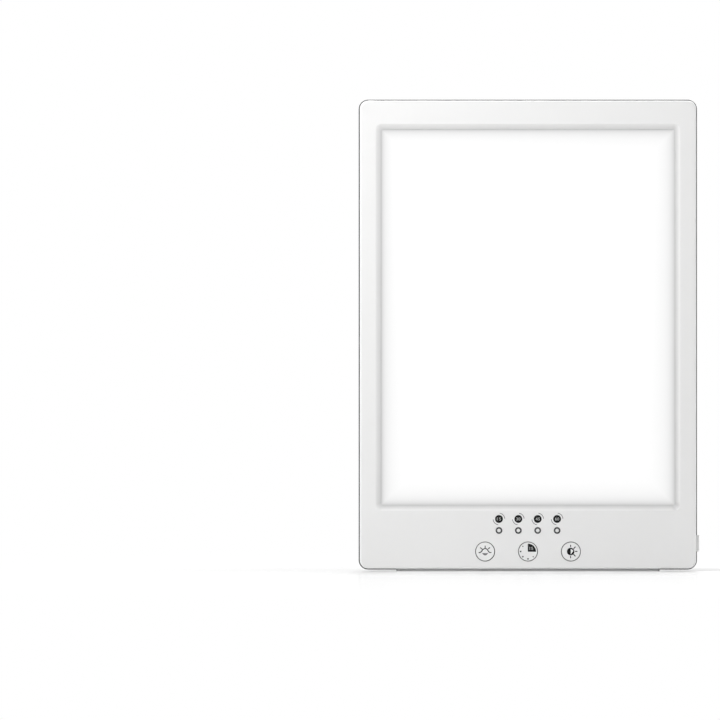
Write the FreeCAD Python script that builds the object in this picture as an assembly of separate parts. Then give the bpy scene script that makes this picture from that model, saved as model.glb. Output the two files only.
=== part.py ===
"""A tablet light therapy lamp: an edge-lit panel in a slim case that stands on a fold-out foot.

Millimetres. X runs to the lamp's right as it is seen from the front, Y runs back from the lit face, Z is up.
The origin is on the surface that the lamp stands on, under the middle of the case.
The foot is modelled swung out, flat on that surface. Folded, it turns 90 degrees up into the back.
"""
import FreeCAD
import Part
import math
import os
from FreeCAD import Vector

# Case. The grey back cover stands a little proud of the white front frame all round.
CASE_WIDTH = 180.0
CASE_HEIGHT = 250.0
CASE_DEPTH = 18.0
CASE_CORNER = 5.0
COVER_REVEAL = 0.6
WALL = 2.2
PARTING = 2.0
PARTING_GROOVE = 0.4
FRONT_EDGE_ROUND = 1.0
TONGUE_THICK = 1.2
TONGUE_REACH = 1.2
FIT_GAP = 0.2
RIB = 1.2

# What the lamp stands on.
FOOT_PROUD = 0.8
STRIP_LENGTH = 140.0
STRIP_FRONT = -7.4
STRIP_BACK = 1.0
STRIP_CORNER = 2.0
RUBBER_RECESS = 0.4

# Lit window and its sloping rim.
WINDOW_WIDTH = 156.4
WINDOW_HEIGHT = 200.0
WINDOW_CORNER = 1.6
RIM_SLOPE = 2.7
RIM_CORNER = 2.8
RIM_ROUND = 0.5
RIM_LIP = 0.3
CHIN = 31.5

# Layers behind the window, from the front, and the lamps that light the guide from its sides.
OVERLAP = 4.0
GASKET = 0.5
GASKET_SETBACK = 1.0
DIFFUSER = 2.0
DIFFUSER_CORNER = 2.0
LIGHT_GUIDE = 3.0
GUIDE_CORNER = 1.0
GUIDE_NARROWER = 2.4
GUIDE_SHORTER = 2.0
REFLECTOR = 0.5
PAN = 1.0
LED_COUNT = 40
LED_PITCH = 5.0
LED_THICK = 0.7
LED_WIDE = 1.4
LED_TALL = 3.0
LED_BOARD = 1.0
EDGE_AIR = 0.3
LED_BOARD_SHORTER = 1.0

# Controls on the chin, measured up from the bottom of the case.
KEY_RADIUS = 5.0
KEY_GAP = 0.3
KEY_PITCH = 22.8
KEY_HEIGHT = 9.7
KEY_PROUD = 0.1
KEY_TRAVEL = 0.5
KEY_ROUND = 0.25
KEY_FLANGE = 1.3
KEY_FLANGE_THICK = 0.8
KEY_GUIDE_WALL = 1.0
KEY_GUIDE_DEPTH = 1.6
LAMP_PITCH = 10.3
LAMP_HEIGHT = 20.9
LAMP_SIZE = 1.6
LAMP_THICK = 0.8
RING_RADIUS = 1.8
RING_PROUD = 0.15
RING_DEPTH = 3.0
PIPE_RADIUS = 0.95
BUTTON_HEIGHT = 14.0
BUTTON_LENGTH = 8.8
BUTTON_WIDTH = 4.5
BUTTON_PROUD = 1.6
BUTTON_TRAVEL = 0.9
BUTTON_CORNER = 0.6
BUTTON_ROUND = 0.3
BUTTON_FLANGE = 0.8
BUTTON_FLANGE_THICK = 0.8
SIDE_PARTS_Y = -2.5

# Control board and what is on it.
BOARD_THICK = 1.6
BOARD_LEFT = -74.6
BOARD_RIGHT = 60.0
BOARD_LOW = 4.4
BOARD_HIGH = 29.4
BOARD_FRONT = -1.2
BOARD_CORNER = 1.5
BOARD_BOSS = 2.4
PRESS_SWITCH_SIDE = 6.0
PRESS_SWITCH_DEPTH = 3.5
PLUNGER_RADIUS = 1.5
STEM_CLEARANCE = 0.8
WELL_CLEARANCE = 0.2
WELL_SPARE = 0.3
PLUNGER_REACH = 1.3
POWER_SWITCH_LENGTH = 12.0
POWER_SWITCH_SIDE = 8.0
POWER_SWITCH_INSET = 7.6
POWER_STEM_INSET = 6.1
POWER_PLUNGER_LENGTH = 5.5
CONNECTOR_WIDE = 6.0
CONNECTOR_TALL = 4.4
CONNECTOR_DEEP = 3.2
CONNECTOR_LEFT_X = -57.0
CONNECTOR_RIGHT_X = 44.0
CONNECTOR_HIGH_Z = 22.6
CONNECTOR_LOW_Z = 14.0
LEAD_RADIUS = 0.45
LEAD_BEND_SHARE = 0.45
LEAD_SWAY = 1.6
LEAD_RISE = 5.6
LEAD_END_RUN = 3.4
SWITCH_LEAD_RUN = 7.0
SWITCH_LEAD_END_RUN = 4.5
SWITCH_LEAD_RISE = 0.8
COMPONENT_Z = 14.5
CHIP_X = -9.0
CHIP_WIDE = 6.0
CHIP_TALL = 5.0
CHIP_THICK = 1.6
INDUCTOR_X = 19.0
INDUCTOR_SIDE = 10.0
INDUCTOR_THICK = 3.0
INDUCTOR_CORNER = 2.0
CAPACITOR_X = (-57.0, -49.5)
CAPACITOR_RADIUS = 2.9
CAPACITOR_TALL = 3.0

# Power inlet, a barrel socket for a 5.5 mm plug with a 2.0 mm centre pin.
SOCKET_BORE = 2.85
SOCKET_NOSE = 3.6
SOCKET_PIN = 1.0
SOCKET_DEPTH = 9.5
SOCKET_LENGTH = 14.6
SOCKET_TALL = 9.0
SOCKET_PIN_INSET = 0.8
SOCKET_PIN_ROOT = 3.0
SOCKET_PIN_ROOT_RADIUS = 0.8
SOLDER_TAIL = 6.5
SOLDER_TAIL_THICK = 0.7

# Fold-out foot and its hinge line.
HINGE_RADIUS = 3.2
STAND_WIDTH = 120.0
STAND_REACH = 90.0
STAND_THICK = 2.6
STAND_CORNER = 12.0
STAND_EDGE_ROUND = 0.6
STAND_START = 3.7
PAD_INNER = 20.0
PAD_OUTER = 48.0
PAD_WIDE = 7.0
PAD_FROM_END = 12.0
PAD_CORNER = 3.0
KNUCKLE_MIDDLE = 44.0
KNUCKLE_LENGTH = 20.0
KNUCKLE_GAP = 0.4
LUG_THICK = 2.4
LUG_WALL = 1.6
LUG_BLIND = 0.4
PIN_RADIUS = 1.2
PIN_CLEARANCE = 0.05
SLEEVE_RADIUS = 2.1
SLEEVE_LENGTH = 12.0
SLEEVE_SLIT = 0.6
POCKET_DEPTH = 3.6
POCKET_GAP = 0.6
POCKET_WALL = 1.6
FINGER_RADIUS = 10.0
FINGER_DROP = 2.0

# Cooling slots in the back.
VENT_ROWS = 14
VENT_PITCH = 6.4
VENT_LOW_Z = 128.0
VENT_X = 34.0
VENT_LENGTH = 44.0
VENT_SLOT = 2.2

# Snap hooks and locating ribs along the sides.
HOOK_HEIGHTS = (70.0, 135.0, 200.0)
HOOK_LENGTH = 12.0
HOOK_TIP = -1.8
HOOK_NUB = 0.4
HOOK_NUB_DEPTH = 0.8
SIDE_RIB_HEIGHTS = (45.0, 102.0, 168.0, 226.0)
TOP_RIB_X = (-50.0, 50.0)
PAN_RIB_HEIGHTS = (112.0, 226.0)
PAN_RIB_HALF = 70.0

# Fasteners.
SCREW_RADIUS = 1.5
SCREW_HOLE = 1.7
SCREW_BOSS = 2.8
SCREW_HEAD = 2.8
SCREW_HEAD_HEIGHT = 2.0
SCREW_HEAD_ROUND = 0.8
SCREW_SEAT = 5.2
SCREW_WELL = 3.2
SCREW_WELL_WALL = 0.7
SCREW_TIP_INSET = 2.0
SCREW_CROSS = 1.5
BOARD_SCREW = 1.1
BOARD_SCREW_HEAD = 2.0
BOARD_SCREW_HEAD_HEIGHT = 1.4
BOARD_SCREW_TIP_INSET = 1.0
BOARD_SCREW_CROSS = 1.1
CROSS_DEPTH = 0.9
CROSS_ARM = 0.35

# Worked out from the sizes above.
FRONT = -CASE_DEPTH / 2
BACK = CASE_DEPTH / 2
CASE_BASE = FOOT_PROUD
CASE_MIDDLE = CASE_BASE + CASE_HEIGHT / 2
FRAME_WIDTH = CASE_WIDTH - 2 * COVER_REVEAL
FRAME_HEIGHT = CASE_HEIGHT - 2 * COVER_REVEAL
FRAME_CORNER = CASE_CORNER - COVER_REVEAL
FRAME_BASE = CASE_BASE + COVER_REVEAL
FRAME_SIDE = FRAME_WIDTH / 2
INNER_SIDE = FRAME_SIDE - WALL
INNER_TOP = CASE_MIDDLE + FRAME_HEIGHT / 2 - WALL
INNER_WIDTH = FRAME_WIDTH - 2 * WALL
INNER_HEIGHT = FRAME_HEIGHT - 2 * WALL
INNER_CORNER = FRAME_CORNER - WALL
TONGUE_WIDTH = INNER_WIDTH - 2 * FIT_GAP
TONGUE_HEIGHT = INNER_HEIGHT - 2 * FIT_GAP
TONGUE_SIDE = TONGUE_WIDTH / 2
FACE_BACK = FRONT + WALL
COVER_FRONT = PARTING + PARTING_GROOVE
COVER_INNER = BACK - WALL
WINDOW_MIDDLE = CASE_BASE + CHIN + RIM_SLOPE + WINDOW_HEIGHT / 2
GASKET_BACK = FACE_BACK + GASKET
DIFFUSER_BACK = GASKET_BACK + DIFFUSER
GUIDE_BACK = DIFFUSER_BACK + LIGHT_GUIDE
REFLECTOR_BACK = GUIDE_BACK + REFLECTOR
PAN_BACK = REFLECTOR_BACK + PAN
PANEL_WIDTH = WINDOW_WIDTH + 2 * OVERLAP
PANEL_HEIGHT = WINDOW_HEIGHT + 2 * OVERLAP
PANEL_LOW = WINDOW_MIDDLE - PANEL_HEIGHT / 2
PANEL_HIGH = WINDOW_MIDDLE + PANEL_HEIGHT / 2
GUIDE_WIDTH = PANEL_WIDTH - GUIDE_NARROWER
GUIDE_HEIGHT = PANEL_HEIGHT - GUIDE_SHORTER
LED_X = GUIDE_WIDTH / 2 + EDGE_AIR
LED_BOARD_X = LED_X + LED_THICK
FLANGE_X = LED_BOARD_X + LED_BOARD
LED_BOARD_HALF = GUIDE_HEIGHT / 2 - LED_BOARD_SHORTER
PAN_SIDE = FLANGE_X + PAN
BOARD_BACK = BOARD_FRONT + BOARD_THICK
KEY_Z = CASE_BASE + KEY_HEIGHT
LAMP_Z = CASE_BASE + LAMP_HEIGHT
BUTTON_Z = CASE_BASE + BUTTON_HEIGHT
KEY_NAMES = ("mode", "timer", "brightness")
KEY_X = (-KEY_PITCH, 0.0, KEY_PITCH)
LAMP_X = tuple((i - 1.5) * LAMP_PITCH for i in range(4))
KEY_FLANGE_RADIUS = KEY_RADIUS + KEY_FLANGE
KEY_FLANGE_FRONT = FACE_BACK + FIT_GAP
KEY_FLANGE_BACK = KEY_FLANGE_FRONT + KEY_FLANGE_THICK
PRESS_SWITCH_FRONT = BOARD_FRONT - PRESS_SWITCH_DEPTH
KEY_STEM_BACK = PRESS_SWITCH_FRONT - STEM_CLEARANCE
PLUNGER_BACK = PRESS_SWITCH_FRONT + PLUNGER_REACH
POWER_SWITCH_RIGHT = FRAME_SIDE - POWER_SWITCH_INSET
POWER_SWITCH_LEFT = POWER_SWITCH_RIGHT - POWER_SWITCH_LENGTH
POWER_STEM_END = FRAME_SIDE - POWER_STEM_INSET
POWER_PLUNGER_END = POWER_STEM_END - POWER_PLUNGER_LENGTH
TOP_SCREW_Z = CASE_BASE + CASE_HEIGHT - 7.2
LOW_SCREW_Z = CASE_BASE + 24.2
CASE_SCREWS = ((-80.0, TOP_SCREW_Z), (0.0, TOP_SCREW_Z), (80.0, TOP_SCREW_Z),
               (-82.0, LOW_SCREW_Z), (82.0, LOW_SCREW_Z))
BOARD_SCREWS = tuple((x, z) for x in (-66.0, 52.0) for z in (11.4, 26.2))
HINGE_Y = BACK - HINGE_RADIUS
HINGE_Z = CASE_BASE + HINGE_RADIUS
STAND_TOP = CASE_BASE + STAND_THICK
POCKET_FLOOR = BACK - POCKET_DEPTH
KNUCKLE_INNER = KNUCKLE_MIDDLE - KNUCKLE_LENGTH / 2
KNUCKLE_OUTER = KNUCKLE_MIDDLE + KNUCKLE_LENGTH / 2
LUG_INNER = KNUCKLE_INNER - KNUCKLE_GAP - LUG_THICK
LUG_OUTER = KNUCKLE_OUTER + KNUCKLE_GAP + LUG_THICK
SIDES = (("left", -1), ("right", 1))
OVERRUN = 1.0
TINY = 1e-3

parts = {}


# Shapes

def box(x0, x1, y0, y1, z0, z1):
    """A block between two corners, given in either order."""
    x0, x1 = sorted((x0, x1))
    return Part.makeBox(x1 - x0, y1 - y0, z1 - z0, Vector(x0, y0, z0))


def rounded_outline(width, height, corner, y, z_middle, x_middle=0.0):
    """A rectangle with round corners, standing in an XZ plane."""
    bite = corner * (1 - math.sqrt(0.5))
    edges = []
    for turn in range(4):
        quarter = math.radians(90 * turn)
        across, up = (width / 2, height / 2) if turn % 2 == 0 else (height / 2, width / 2)

        def place(a, b):
            """A point of this corner, turned to its quarter."""
            x = a * math.cos(quarter) - b * math.sin(quarter)
            z = a * math.sin(quarter) + b * math.cos(quarter)
            return Vector(x_middle + x, y, z_middle + z)

        arc_start = place(across, up - corner)
        arc_middle = place(across - bite, up - bite)
        arc_end = place(across - corner, up)
        edges.append(Part.LineSegment(place(across, corner - up), arc_start).toShape())
        edges.append(Part.Arc(arc_start, arc_middle, arc_end).toShape())
    return Part.Wire(Part.__sortEdges__(edges))


def slab(width, height, corner, y0, y1, z_middle, x_middle=0.0):
    """A plate with round corners, from depth y0 to depth y1."""
    outline = rounded_outline(width, height, corner, y0, z_middle, x_middle)
    return Part.Face(outline).extrude(Vector(0, y1 - y0, 0))


def rod_y(radius, x, z, y0, y1):
    """A round rod that runs front to back."""
    return Part.makeCylinder(radius, y1 - y0, Vector(x, y0, z), Vector(0, 1, 0))


def rod_x(radius, y, z, x0, x1):
    """A round rod that runs left to right."""
    return Part.makeCylinder(radius, x1 - x0, Vector(x0, y, z), Vector(1, 0, 0))


def tube_y(outer, inner, x, z, y0, y1):
    """A round tube that runs front to back."""
    return rod_y(outer, x, z, y0, y1).cut(rod_y(inner, x, z, y0 - OVERRUN, y1 + OVERRUN))


def edges_at_depth(shape, y):
    """The edges that lie wholly at one depth."""
    return [e for e in shape.Edges
            if abs(e.BoundBox.YMin - y) < TINY and abs(e.BoundBox.YMax - y) < TINY]


def round_along_x(block, radius):
    """Rounds the edges of a block that run left to right."""
    return block.makeFillet(radius, [e for e in block.Edges if e.BoundBox.XLength > TINY])


def round_along_y(block, radius):
    """Rounds the edges of a block that run front to back."""
    return block.makeFillet(radius, [e for e in block.Edges if e.BoundBox.YLength > TINY])


def round_upright(block, radius):
    """Rounds the upright edges of a block."""
    return block.makeFillet(radius, [e for e in block.Edges if e.BoundBox.ZLength > TINY])


def lead(points):
    """A lead along straight runs joined by tangent arcs, each as large as its runs allow."""
    corners = [Vector(*p) for p in points]
    edges = []
    bends = []
    start = corners[0]
    for before, corner, after in zip(corners, corners[1:], corners[2:]):
        back = before.sub(corner)
        on = after.sub(corner)
        reach = LEAD_BEND_SHARE * min(back.Length, on.Length)
        half_turn = (math.pi - back.getAngle(on)) / 2
        bend = reach / math.tan(half_turn)
        bends.append(round(bend, 1))
        arc_start = corner.add(back.normalize().multiply(reach))
        arc_end = corner.add(on.normalize().multiply(reach))
        inward = arc_start.add(arc_end).multiply(0.5).sub(corner).normalize()
        arc_middle = corner.add(inward.multiply(bend / math.cos(half_turn) - bend))
        edges.append(Part.LineSegment(start, arc_start).toShape())
        edges.append(Part.Arc(arc_start, arc_middle, arc_end).toShape())
        start = arc_end
    edges.append(Part.LineSegment(start, corners[-1]).toShape())
    path = Part.Wire(edges)
    section = Part.Wire(Part.makeCircle(LEAD_RADIUS, corners[0], corners[1].sub(corners[0])))
    tube = path.makePipeShell([section], True, False)
    expected = math.pi * LEAD_RADIUS ** 2 * path.Length
    print("lead", round(path.Length, 1), "mm long, volume over expected", round(tube.Volume / expected, 4),
          "bend radii", bends)
    return tube


def keep(name, shape):
    """Stores one node, after joining its coplanar faces and checking that it is sound."""
    shape = shape.removeSplitter()
    if not shape.isValid():
        raise ValueError(name + " is not a valid solid")
    parts[name] = shape


# Front frame

def window_opening():
    """The opening of the frame: a slope from the rim down to the window, then straight through."""
    lip = FACE_BACK - RIM_LIP
    mouth = rounded_outline(WINDOW_WIDTH + 2 * RIM_SLOPE, WINDOW_HEIGHT + 2 * RIM_SLOPE,
                            RIM_CORNER, FRONT, WINDOW_MIDDLE)
    throat = rounded_outline(WINDOW_WIDTH, WINDOW_HEIGHT, WINDOW_CORNER, lip, WINDOW_MIDDLE)
    straight = slab(WINDOW_WIDTH, WINDOW_HEIGHT, WINDOW_CORNER, lip, FACE_BACK + OVERRUN, WINDOW_MIDDLE)
    return Part.makeLoft([mouth, throat], True, True).fuse(straight)


def frame_shell():
    """The open-backed white box: face, window, and walls with rounded edges."""
    shell = slab(FRAME_WIDTH, FRAME_HEIGHT, FRAME_CORNER, FRONT, PARTING, CASE_MIDDLE)
    shell = shell.makeFillet(FRONT_EDGE_ROUND, edges_at_depth(shell, FRONT))
    inside = slab(INNER_WIDTH, INNER_HEIGHT, INNER_CORNER, FACE_BACK, PARTING + OVERRUN, CASE_MIDDLE)
    shell = shell.cut([inside, window_opening()])
    mouth_side = WINDOW_WIDTH / 2 + RIM_SLOPE + TINY
    mouth = [e for e in edges_at_depth(shell, FRONT)
             if e.BoundBox.XMax < mouth_side and e.BoundBox.XMin > -mouth_side
             and e.BoundBox.ZMax < WINDOW_MIDDLE + WINDOW_HEIGHT / 2 + RIM_SLOPE + TINY
             and e.BoundBox.ZMin > WINDOW_MIDDLE - WINDOW_HEIGHT / 2 - RIM_SLOPE - TINY]
    return shell.makeFillet(RIM_ROUND, mouth)


def frame_ribs():
    """Ribs inside the frame: they locate the panel, and cradle the power switch."""
    ribs = []
    for _, sign in SIDES:
        for z in SIDE_RIB_HEIGHTS:
            ribs.append(box(sign * PAN_SIDE, sign * (INNER_SIDE + RIB), FACE_BACK, PAN_BACK,
                            z - RIB / 2, z + RIB / 2))
    for x in TOP_RIB_X:
        ribs.append(box(x - RIB / 2, x + RIB / 2, FACE_BACK, PAN_BACK, PANEL_HIGH, INNER_TOP + RIB))
    ribs.append(box(-PAN_RIB_HALF, PAN_RIB_HALF, FACE_BACK, PAN_BACK, BOARD_HIGH + FIT_GAP, PANEL_LOW))
    half = POWER_SWITCH_SIDE / 2
    for low in (BUTTON_Z - half - RIB, BUTTON_Z + half):
        ribs.append(box(POWER_SWITCH_LEFT, POWER_SWITCH_RIGHT, FACE_BACK, SIDE_PARTS_Y, low, low + RIB))
    return ribs


def power_button_hole():
    """The slot in the right wall that the power button slides in."""
    y_half = BUTTON_WIDTH / 2 + FIT_GAP
    z_half = BUTTON_LENGTH / 2 + FIT_GAP
    hole = box(INNER_SIDE - OVERRUN, FRAME_SIDE + OVERRUN,
               SIDE_PARTS_Y - y_half, SIDE_PARTS_Y + y_half, BUTTON_Z - z_half, BUTTON_Z + z_half)
    return round_along_x(hole, BUTTON_CORNER + FIT_GAP)


def hook_nubs(gap):
    """The snap nubs along both sides, grown by a gap to make the catches that hold them."""
    tip = HOOK_TIP + FIT_GAP
    half = HOOK_LENGTH / 2 + gap
    reach = TONGUE_SIDE + HOOK_NUB + FIT_GAP + gap
    return [box(sign * (TONGUE_SIDE - gap), sign * reach, tip - gap, tip + HOOK_NUB_DEPTH + gap,
                z - half, z + half) for _, sign in SIDES for z in HOOK_HEIGHTS]


def front_frame():
    """White frame: face, walls, screw bosses, key guides and every hole for the controls."""
    frame = frame_shell().fuse(frame_ribs())
    for x, z in CASE_SCREWS:
        frame = frame.fuse(tube_y(SCREW_BOSS, SCREW_RADIUS, x, z, FACE_BACK, PARTING))
    for x, z in BOARD_SCREWS:
        frame = frame.fuse(tube_y(BOARD_BOSS, BOARD_SCREW, x, z, FACE_BACK, BOARD_FRONT))
    guide = KEY_FLANGE_RADIUS + KEY_GAP
    guide_back = FACE_BACK + KEY_GUIDE_DEPTH
    for x in KEY_X:
        frame = frame.fuse(tube_y(guide + KEY_GUIDE_WALL, guide, x, KEY_Z, FACE_BACK, guide_back))
        frame = frame.cut(rod_y(KEY_RADIUS + KEY_GAP, x, KEY_Z, FRONT - OVERRUN, FACE_BACK + FIT_GAP))
    for x in LAMP_X:
        frame = frame.cut(rod_y(RING_RADIUS, x, LAMP_Z, FRONT - OVERRUN, FACE_BACK + OVERRUN))
    frame = frame.cut(power_button_hole())
    frame = frame.cut(rod_x(SOCKET_NOSE, SIDE_PARTS_Y, BUTTON_Z,
                            -FRAME_SIDE - OVERRUN, -INNER_SIDE + OVERRUN))
    frame = frame.cut(hook_nubs(FIT_GAP))
    return frame.cut(base_strip())


def base_strip():
    """The rubber strip under the case, let into the frame."""
    strip = box(-STRIP_LENGTH / 2, STRIP_LENGTH / 2, STRIP_FRONT, STRIP_BACK,
                0.0, FRAME_BASE + RUBBER_RECESS)
    return round_upright(strip, STRIP_CORNER)


# Panel layers

def panel_gasket():
    """The thin frame of foam between the frame and the diffuser, set back from the window's edge."""
    gasket = slab(PANEL_WIDTH, PANEL_HEIGHT, DIFFUSER_CORNER, FACE_BACK, GASKET_BACK, WINDOW_MIDDLE)
    return gasket.cut(slab(WINDOW_WIDTH + 2 * GASKET_SETBACK, WINDOW_HEIGHT + 2 * GASKET_SETBACK,
                           WINDOW_CORNER, FACE_BACK - OVERRUN, GASKET_BACK + OVERRUN, WINDOW_MIDDLE))


def back_pan():
    """Aluminium tray that spreads the heat, with a flange behind each row of lamps."""
    pan = box(-PAN_SIDE, PAN_SIDE, REFLECTOR_BACK, PAN_BACK, PANEL_LOW, PANEL_HIGH)
    for _, sign in SIDES:
        pan = pan.fuse(box(sign * FLANGE_X, sign * PAN_SIDE, DIFFUSER_BACK, REFLECTOR_BACK,
                           PANEL_LOW, PANEL_HIGH))
    return pan


def led_board(sign):
    """The narrow board that carries one row of lamps."""
    return box(sign * LED_BOARD_X, sign * FLANGE_X, DIFFUSER_BACK + FIT_GAP, REFLECTOR_BACK,
               WINDOW_MIDDLE - LED_BOARD_HALF, WINDOW_MIDDLE + LED_BOARD_HALF)


def led_row(sign):
    """One row of lamp packages along a side of the light guide."""
    y_middle = (DIFFUSER_BACK + GUIDE_BACK) / 2
    row = []
    for i in range(LED_COUNT):
        z = WINDOW_MIDDLE + (i - (LED_COUNT - 1) / 2) * LED_PITCH
        row.append(box(sign * LED_X, sign * LED_BOARD_X, y_middle - LED_WIDE / 2, y_middle + LED_WIDE / 2,
                       z - LED_TALL / 2, z + LED_TALL / 2))
    return Part.makeCompound(row)


def panel_layers():
    """Gasket, diffuser, light guide, reflector and pan, and the lamps at both sides."""
    keep("panel_gasket", panel_gasket())
    keep("diffuser", slab(PANEL_WIDTH, PANEL_HEIGHT, DIFFUSER_CORNER,
                          GASKET_BACK, DIFFUSER_BACK, WINDOW_MIDDLE))
    keep("light_guide", slab(GUIDE_WIDTH, GUIDE_HEIGHT, GUIDE_CORNER,
                             DIFFUSER_BACK, GUIDE_BACK, WINDOW_MIDDLE))
    keep("reflector_sheet", slab(GUIDE_WIDTH, GUIDE_HEIGHT, GUIDE_CORNER,
                                 GUIDE_BACK, REFLECTOR_BACK, WINDOW_MIDDLE))
    keep("back_pan", back_pan())
    for side, sign in SIDES:
        keep("led_board_" + side, led_board(sign))
        keep("led_row_" + side, led_row(sign))


# Controls

def control_board():
    """The circuit board behind the chin, with a hole at each of its screws."""
    board = box(BOARD_LEFT, BOARD_RIGHT, BOARD_FRONT, BOARD_BACK, BOARD_LOW, BOARD_HIGH)
    board = round_along_y(board, BOARD_CORNER)
    for x, z in BOARD_SCREWS:
        board = board.cut(rod_y(BOARD_SCREW, x, z, BOARD_FRONT - OVERRUN, BOARD_BACK + OVERRUN))
    return board


def key_cap(x):
    """A round key, just proud of the face, kept in by a flange behind it, with a stem."""
    front = FRONT - KEY_PROUD
    cap = rod_y(KEY_RADIUS, x, KEY_Z, front, KEY_FLANGE_FRONT)
    cap = cap.makeFillet(KEY_ROUND, edges_at_depth(cap, front))
    flange = rod_y(KEY_FLANGE_RADIUS, x, KEY_Z, KEY_FLANGE_FRONT, KEY_FLANGE_BACK)
    stem = rod_y(PLUNGER_RADIUS, x, KEY_Z, KEY_FLANGE_BACK, KEY_STEM_BACK)
    return cap.fuse([flange, stem])


def key_switch(x):
    """The housing of a press switch, with the well that its plunger moves in."""
    half = PRESS_SWITCH_SIDE / 2
    body = box(x - half, x + half, PRESS_SWITCH_FRONT, BOARD_FRONT, KEY_Z - half, KEY_Z + half)
    return body.cut(rod_y(PLUNGER_RADIUS + WELL_CLEARANCE, x, KEY_Z, PRESS_SWITCH_FRONT - OVERRUN,
                          PLUNGER_BACK + KEY_TRAVEL + WELL_SPARE))


def keys():
    """The three round keys, each with its switch and the switch's plunger."""
    for name, x in zip(KEY_NAMES, KEY_X):
        keep(name + "_key", key_cap(x))
        keep(name + "_plunger", rod_y(PLUNGER_RADIUS, x, KEY_Z, KEY_STEM_BACK, PLUNGER_BACK))
        keep(name + "_switch", key_switch(x))


def indicators():
    """Four small lamps on the board, the clear pipes in front of them and the dark rings round those."""
    pipe_back = BOARD_FRONT - LAMP_THICK - FIT_GAP
    half = LAMP_SIZE / 2
    for number, x in enumerate(LAMP_X, start=1):
        ring = tube_y(RING_RADIUS, PIPE_RADIUS, x, LAMP_Z, FRONT - RING_PROUD, FRONT + RING_DEPTH)
        keep("indicator_ring_%d" % number, ring)
        keep("light_pipe_%d" % number, rod_y(PIPE_RADIUS, x, LAMP_Z, FRONT, pipe_back))
    keep("indicator_lamps", Part.makeCompound(
        [box(x - half, x + half, BOARD_FRONT - LAMP_THICK, BOARD_FRONT, LAMP_Z - half, LAMP_Z + half)
         for x in LAMP_X]))


def board_components():
    """The larger components on the back of the board."""
    chip_side = CHIP_WIDE / 2
    keep("driver_chip", box(CHIP_X - chip_side, CHIP_X + chip_side, BOARD_BACK, BOARD_BACK + CHIP_THICK,
                            COMPONENT_Z - CHIP_TALL / 2, COMPONENT_Z + CHIP_TALL / 2))
    half = INDUCTOR_SIDE / 2
    inductor = box(INDUCTOR_X - half, INDUCTOR_X + half, BOARD_BACK, BOARD_BACK + INDUCTOR_THICK,
                   COMPONENT_Z - half, COMPONENT_Z + half)
    keep("boost_inductor", round_along_y(inductor, INDUCTOR_CORNER))
    keep("smoothing_capacitors", Part.makeCompound(
        [rod_y(CAPACITOR_RADIUS, x, COMPONENT_Z, BOARD_BACK, BOARD_BACK + CAPACITOR_TALL)
         for x in CAPACITOR_X]))


def power_button():
    """The side button: a cap that stands proud of the wall, its flange and its stem."""
    outer = FRAME_SIDE + BUTTON_PROUD
    flange_right = INNER_SIDE - FIT_GAP
    flange_left = flange_right - BUTTON_FLANGE_THICK
    y_half = BUTTON_WIDTH / 2
    z_half = BUTTON_LENGTH / 2
    cap = round_along_x(box(flange_right, outer, SIDE_PARTS_Y - y_half, SIDE_PARTS_Y + y_half,
                            BUTTON_Z - z_half, BUTTON_Z + z_half), BUTTON_CORNER)
    cap = cap.makeFillet(BUTTON_ROUND, [e for e in cap.Edges if e.BoundBox.XMin > outer - TINY])
    y_half += BUTTON_FLANGE
    z_half += BUTTON_FLANGE
    flange = box(flange_left, flange_right, SIDE_PARTS_Y - y_half, SIDE_PARTS_Y + y_half,
                 BUTTON_Z - z_half, BUTTON_Z + z_half)
    stem = box(POWER_STEM_END, flange_left, SIDE_PARTS_Y - PLUNGER_RADIUS, SIDE_PARTS_Y + PLUNGER_RADIUS,
               BUTTON_Z - PLUNGER_RADIUS, BUTTON_Z + PLUNGER_RADIUS)
    return cap.fuse([flange, stem])


def power_switch():
    """The latching switch behind the power button, with the well that its plunger moves in."""
    half = POWER_SWITCH_SIDE / 2
    well = PLUNGER_RADIUS + WELL_CLEARANCE
    body = box(POWER_SWITCH_LEFT, POWER_SWITCH_RIGHT, FACE_BACK, FACE_BACK + POWER_SWITCH_SIDE,
               BUTTON_Z - half, BUTTON_Z + half)
    return body.cut(box(POWER_PLUNGER_END - BUTTON_TRAVEL - WELL_SPARE, POWER_SWITCH_RIGHT + OVERRUN,
                        SIDE_PARTS_Y - well, SIDE_PARTS_Y + well, BUTTON_Z - well, BUTTON_Z + well))


def power_controls():
    """The power button, its switch and the switch's plunger."""
    keep("power_button", power_button())
    keep("power_switch", power_switch())
    keep("power_plunger", box(POWER_PLUNGER_END, POWER_STEM_END,
                              SIDE_PARTS_Y - PLUNGER_RADIUS, SIDE_PARTS_Y + PLUNGER_RADIUS,
                              BUTTON_Z - PLUNGER_RADIUS, BUTTON_Z + PLUNGER_RADIUS))


# Power inlet and leads

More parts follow.
